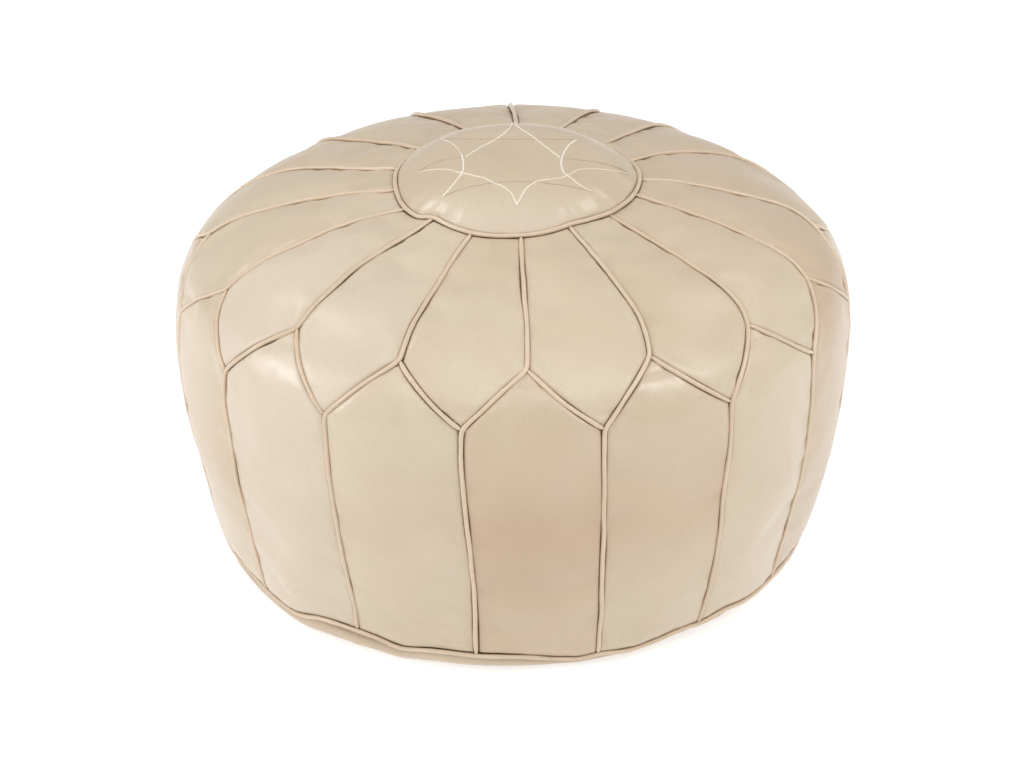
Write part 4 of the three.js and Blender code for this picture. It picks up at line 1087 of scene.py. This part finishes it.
def base_half(sign, name, cad):
    cols, rows = 150, 46
    v = np.linspace(0, 1, cols)
    v = 0.5 - 0.5 * np.cos(math.pi * v)
    v = 0.5 * v + 0.5 * np.linspace(0, 1, cols)
    # angles round the rim from one end of the dividing line to the other
    phi = (v - 0.5) * math.pi
    az_rim = phi + (math.pi if sign > 0 else 0)
    # rim place inset from the bottom seam
    s_rim = foot_line(az_rim) + GAP
    r_rim = section(s_rim)[:, 0]
    xr, yr = r_rim * np.sin(az_rim), -r_rim * np.cos(az_rim)
    y_in = EDGE_Y + (0.7 * MM - EDGE_Y) * smoothstep(171 * MM, 176 * MM, np.abs(xr))
    yr = np.where(np.abs(yr) < y_in, sign * y_in, yr)
    u = np.linspace(0, 1, rows)
    ua = 1 - (1 - u) ** 1.5
    span = np.abs(yr) - y_in
    # near the dividing line the rows keep real distances, so that the channel's steps stay sharp
    near = np.array([0, 0.3, 0.7, 1.2, 1.8, 2.6, 3.6, 4.4, 5.2, 6.2, 7.4, 8.6, 9.4, 10.4, 12, 14.5]) * MM
    Y = np.empty((rows, cols))
    m_ = len(near)
    for j in range(cols):
        far = span[j]
        if far > 30 * MM:
            rest = np.linspace(0, 1, rows - m_ + 1)[1:]
            rest = 1 - (1 - rest) ** 1.6
            Y[:, j] = np.concatenate([near, near[-1] + (far - near[-1]) * rest])
        else:
            Y[:, j] = far * (np.linspace(0, 1, rows))
    Y = Y + y_in
    X = np.broadcast_to(xr, Y.shape)
    y = sign * Y
    z, d = base_height(X, y)
    ch = (1 - smoothstep(CH_X - 5 * MM, CH_X, np.abs(X))) * RISE * (1 - smoothstep(9.0 * MM, CH_Y, Y))
    z = z + ch
    p = np.stack([X, y, z], -1)
    # the plain seam beyond the channel turns in, and so does the rim
    e1 = np.clip(1 - (Y - 0.7 * MM) / (2.6 * MM), 0, 1) * smoothstep(CH_X - 1 * MM, CH_X + 4 * MM, np.abs(X))
    e2 = np.clip(1 - (d - GAP) / (3.4 * MM), 0, 1)
    inward = 3.2 * MM * (1 - np.sqrt(np.maximum(0, 1 - np.maximum(e1, e2) ** 2.4)))
    side_of = np.arctan2(X, -y) / DEG
    swell = 1.6 + 2.2 * np.exp(-(((side_of + 48) / 22) ** 2)) - 6.5 * np.exp(-(((side_of - 36) / 22) ** 2))
    belly = swell * MM * np.exp(-((d - 10 * MM) / (8 * MM)) ** 2)
    r = np.hypot(X, y)
    nn = normal2(np.clip(foot_line(np.arctan2(X, -y)) + d, 0, FLAT - 0.0005))
    flatness = smoothstep(0.0, 10 * MM, d - (FLAT - foot_line(np.arctan2(X, -y))))
    nx = np.where(flatness > 0.5, 0, nn[..., 0])
    nzz = np.where(flatness > 0.5, -1, nn[..., 1])
    belly = belly + sag(side_of * DEG) * np.exp(-((d / (13 * MM)) ** 2) / 2)
    off = belly * (1 - flatness) - inward + 0.15 * MM * ripple(p) * (1 - flatness) * np.clip(d / (6 * MM), 0, 1)
    dirx, diry = X / np.maximum(r, 1e-6), y / np.maximum(r, 1e-6)
    q = p + np.stack([dirx * nx, diry * nx, nzz], -1) * off[..., None]
    q[..., 2] = np.maximum(q[..., 2], 0)
    inner = q - np.stack([dirx * nx, diry * nx, nzz], -1) * (LEATHER)
    # Painted shade in the rim seam and along the plain seam beyond the zip channel.
    seam_ = 0.65 * np.maximum(np.clip(np.exp(-np.maximum(d - GAP - 0.4 * MM, 0) / (1.3 * MM)), 0, 1), np.clip(np.exp(-np.maximum(Y - 0.7 * MM - 0.5 * MM, 0) / (1.3 * MM)), 0, 1) * (np.abs(X) > CH_X))
    if sign < 0:
        q, inner, seam_ = q[:, ::-1], inner[:, ::-1], seam_[:, ::-1]
    o = shell_object(name, q, inner, {"seam": seam_})
    dress(o, base_mat)
    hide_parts(cad)
    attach(o, "pouf")
    return o


base_half(1, "base_leather_right", "base_panel_right")
base_half(-1, "base_leather_left", "base_panel_left")

# ------------------------------------------------------------------ lining and stuffing
def bag(name, off, bottom, slit, rows=64, cols=144, thick=0.0, wrinkle=0.4 * MM, seed=0.0):
    """A bag that follows the cover at a distance; with a slit in its bottom it's a thin open shell."""
    s_ = np.linspace(0, foot_line(0.0) - 0.012, rows)
    az_ = np.linspace(0, 2 * math.pi, cols, endpoint=False)
    A, S = np.broadcast_to(az_, (rows, cols)), np.broadcast_to(s_[:, None], (rows, cols))

    def layer(o_, z0):
        w_ = wrinkle * dents(cover(A, S) + seed)
        top = cover(A, S, -o_ + np.minimum(w_, 0.3 * MM) - bulge(A, S) * 0.15)
        top[..., 2] = np.maximum(top[..., 2], z0 + 0.002)
        rim = top[-1]
        rows_ = [top]
        for f_ in (0.25, 0.6, 1.0):
            q_ = rim.copy()
            pull = 0.004 * (1 - math.cos(f_ * math.pi / 2)) + 0.004
            rr = np.hypot(rim[:, 0], rim[:, 1])
            q_[:, 0] *= (rr - pull) / rr
            q_[:, 1] *= (rr - pull) / rr
            q_[:, 2] = rim[:, 2] + (z0 - rim[:, 2]) * math.sin(f_ * math.pi / 2)
            rows_.append(q_[None])
        rim = rows_[-1][0]
        if slit:
            goal = np.stack([140 * MM * np.sin(az_), -4 * MM * np.sign(np.cos(az_)) * np.abs(np.cos(az_)) ** 0.35, np.full(cols, z0)], 1)
        else:
            goal = np.zeros((cols, 3)) + (0, 0, z0)
        for f_ in np.linspace(0, 1, 22)[1:]:
            q_ = rim + (goal - rim) * f_
            q_[:, 2] = z0 + 0.35 * MM * (1 + np.clip(dents(q_ * 1.3 + seed), -1, 1)) * (4 * f_ * (1 - f_)) * (0 if slit else 1)
            rows_.append(q_[None])
        return np.concatenate(rows_)

    outer_ = layer(off, bottom)
    if slit:
        inner_ = layer(off + thick, bottom + thick)
        return shell_object(name, outer_, inner_, {}, first_point=True, wrap=True)
    R_n, C_n = outer_.shape[:2]
    verts_ = [tuple(outer_[0, 0])] + [tuple(v_) for row_ in outer_[1:-1] for v_ in row_] + [tuple(outer_[-1, 0])]
    faces_ = []
    idx_ = lambda i, j: 1 + (i - 1) * C_n + j % C_n
    for j in range(C_n):
        faces_.append([0, idx_(1, j), idx_(1, j + 1)])
        faces_.append([len(verts_) - 1, idx_(R_n - 2, j + 1), idx_(R_n - 2, j)])
        for i in range(1, R_n - 2):
            faces_.append([idx_(i, j), idx_(i + 1, j), idx_(i + 1, j + 1), idx_(i, j + 1)])
    return mesh_object(name, verts_, faces_)


o = bag("lining_cloth", 6.2 * MM, 9.7 * MM, True, thick=0.6 * MM, wrinkle=0.35 * MM)
dress(o, lining_mat)
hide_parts("lining_bag")
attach(o, "pouf")
o = bag("stuffing_fibre", 7.6 * MM, 11.0 * MM, False, wrinkle=0.5 * MM, seed=0.7)
dress(o, fibre_mat)
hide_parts("stuffing")
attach(o, "pouf")


# ------------------------------------------------------------------ zip
def prism(verts_, faces_, profile, x0, x1, taper=0.0):
    """Adds a closed bar along X with a y-z profile, its ends drawn in a little."""
    start = len(verts_)
    c_ = np.mean(profile, 0)
    n_ = len(profile)
    d_ = (x1 - x0) * 0.18
    for x_, k_ in ((x0, 1 - taper), (x0 + d_, 1), (x1 - d_, 1), (x1, 1 - taper)):
        for y_, z_ in profile:
            verts_.append((x_, c_[0] + (y_ - c_[0]) * k_, c_[1] + (z_ - c_[1]) * k_))
    for i in range(3):
        for j in range(n_):
            a_, b_ = start + i * n_ + j, start + i * n_ + (j + 1) % n_
            faces_.append([a_, b_, b_ + n_, a_ + n_])
    faces_.append([start + j for j in range(n_)][::-1])
    faces_.append([start + 3 * n_ + j for j in range(n_)])


for sign, side_name in ((-1, "left"), (1, "right")):
    lo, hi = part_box(f"zip_tape_{side_name}")
    x0, x1 = lo[0], hi[0]
    sgn = 1 if (lo[1] + hi[1]) > 0 else -1
    y_far = max(abs(lo[1]), abs(hi[1]))
    verts_, faces_ = [], []
    # woven tape: a thin strip with a soft edge and a slight ripple
    nx, ny = 180, 7
    ys = np.linspace(1.6 * MM, y_far, ny)
    xs = np.linspace(x0, x1, nx)
    for layer_, z_ in ((0, 6.2 * MM), (1, 6.8 * MM)):
        for x_ in xs:
            for j, y_ in enumerate(ys):
                rip = 0.12 * MM * math.sin(x_ * 310 + sgn) * (j / (ny - 1)) ** 2
                verts_.append((x_, sgn * y_, z_ + rip + (0.12 * MM if 0 < j < ny - 1 else 0) * (1 if layer_ else -1)))
    L_ = nx * ny
    for i in range(nx - 1):
        for j in range(ny - 1):
            a_, b_, c_, d_ = i * ny + j, (i + 1) * ny + j, (i + 1) * ny + j + 1, i * ny + j + 1
            faces_.append([a_, d_, c_, b_][::sgn])
            faces_.append([a_ + L_, b_ + L_, c_ + L_, d_ + L_][::sgn])
    for i in range(nx - 1):
        for j in (0, ny - 1):
            a_, b_ = i * ny + j, (i + 1) * ny + j
            q_ = [a_, b_, b_ + L_, a_ + L_]
            faces_.append(q_[::sgn] if j == 0 else q_[::-sgn])
    for j in range(ny - 1):
        for i in (0, nx - 1):
            a_, b_ = i * ny + j, i * ny + j + 1
            q_ = [a_, a_ + L_, b_ + L_, b_]
            faces_.append(q_[::sgn] if i == 0 else q_[::-sgn])
    # teeth, one side half a pitch along from the other
    prof = [(sgn * y_ * MM, z_ * MM) for y_, z_ in ((0.8, 6.1), (1.0, 5.6), (1.5, 5.42), (2.5, 5.42), (2.85, 5.7), (2.85, 7.3), (2.5, 7.58), (1.5, 7.58), (1.0, 7.4), (0.8, 6.9))]
    if sgn > 0:
        prof = prof[::-1]
    n_teeth = int((x1 - x0 - 8 * MM) / (2.2 * MM))
    for i in range(n_teeth):
        xc = x0 + 4 * MM + (i + (0.5 if sgn > 0 else 0.0)) * 2.2 * MM
        prism(verts_, faces_, prof[::-1], xc - 0.68 * MM, xc + 0.68 * MM, taper=0.16)
    o = mesh_object(f"zip_woven_{side_name}", verts_, faces_, smooth=False)
    dress(o, tape_mat)
    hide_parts(f"zip_tape_{side_name}")
    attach(o, "pouf")

for node_name, piece, body in (("zip_slider", "slider_brass", "zip_slider"), ("zip_pull_tab", "pull_tab_brass", "zip_pull_tab")):
    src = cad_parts[node_name]
    me = src.data.copy()
    me.materials.clear()
    o = bpy.data.objects.new(piece, me)
    bpy.context.scene.collection.objects.link(o)
    bm = bmesh.new()
    bm.from_mesh(me)
    bmesh.ops.remove_doubles(bm, verts=bm.verts, dist=1e-6)
    bmesh.ops.dissolve_limit(bm, angle_limit=0.02, verts=bm.verts, edges=bm.edges)
    sharp = [e_ for e_ in bm.edges if e_.is_manifold and e_.calc_face_angle(0) > 0.6]
    bmesh.ops.bevel(bm, geom=sharp, offset=0.00012, segments=2, profile=0.6, affect="EDGES", clamp_overlap=True)
    bm.to_mesh(me)
    bm.free()
    dress(o, brass_mat)
    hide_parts(node_name)
    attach(o, body)

# ------------------------------------------------------------------ world, floor and lights
world = bpy.data.worlds.new("studio")
bpy.context.scene.world = world
world.use_nodes = True
world.node_tree.nodes["Background"].inputs["Color"].default_value = (1, 1, 1, 1)
world.node_tree.nodes["Background"].inputs["Strength"].default_value = 0.475
bpy.context.scene.view_settings.view_transform = "Standard"
bpy.context.scene.view_settings.look = "None"

floor_me = bpy.data.meshes.new("floor")
floor_me.from_pydata([(-12, -12, -0.0004), (12, -12, -0.0004), (12, 12, -0.0004), (-12, 12, -0.0004)], [], [[0, 1, 2, 3]])
floor = bpy.data.objects.new("floor", floor_me)
bpy.context.scene.collection.objects.link(floor)
fm = bpy.data.materials.new("floor")
fm.use_nodes = True
fm.node_tree.nodes["Principled BSDF"].inputs["Base Color"].default_value = (0.5, 0.5, 0.5, 1)
fm.node_tree.nodes["Principled BSDF"].inputs["Roughness"].default_value = 0.9
fm.node_tree.nodes["Principled BSDF"].inputs["Emission Color"].default_value = (1, 1, 1, 1)
fm.node_tree.nodes["Principled BSDF"].inputs["Emission Strength"].default_value = 0.65
floor_me.materials.append(fm)


def softbox(name, az, el, dist, size_x, size_y, power, colour=(1, 1, 1)):
    l = bpy.data.lights.new(name, "AREA")
    l.shape = "RECTANGLE"
    l.size, l.size_y = size_x, size_y
    l.energy = power
    l.color = colour
    ob = bpy.data.objects.new(name, l)
    bpy.context.scene.collection.objects.link(ob)
    a, e_ = az * DEG, el * DEG
    pos = Vector((math.sin(a) * math.cos(e_), -math.cos(a) * math.cos(e_), math.sin(e_))) * dist + Vector((0, 0, 0.15))
    ob.location = pos
    ob.rotation_mode = "QUATERNION"
    ob.rotation_quaternion = (pos - Vector((0, 0, 0.15))).to_track_quat("Z", "Y")
    return ob


softbox("front_box", 6, 60, 3.0, 3.6, 2.6, 39)
softbox("left_box", -72, 22, 2.2, 1.3, 1.3, 11)
softbox("left_window", -76, 17, 2.2, 0.35, 0.5, 5)
softbox("right_box", 78, 26, 2.2, 1.0, 1.0, 1.6)
softbox("right_window", 58, 41, 2.2, 0.8, 0.5, 10)
softbox("right_back_window", 120, 27, 2.2, 0.25, 0.3, 1.2)
softbox("over_left", -122, 51, 2.3, 0.45, 0.45, 5.5)
softbox("over_right", 127, 52, 2.3, 0.45, 0.45, 3.5)
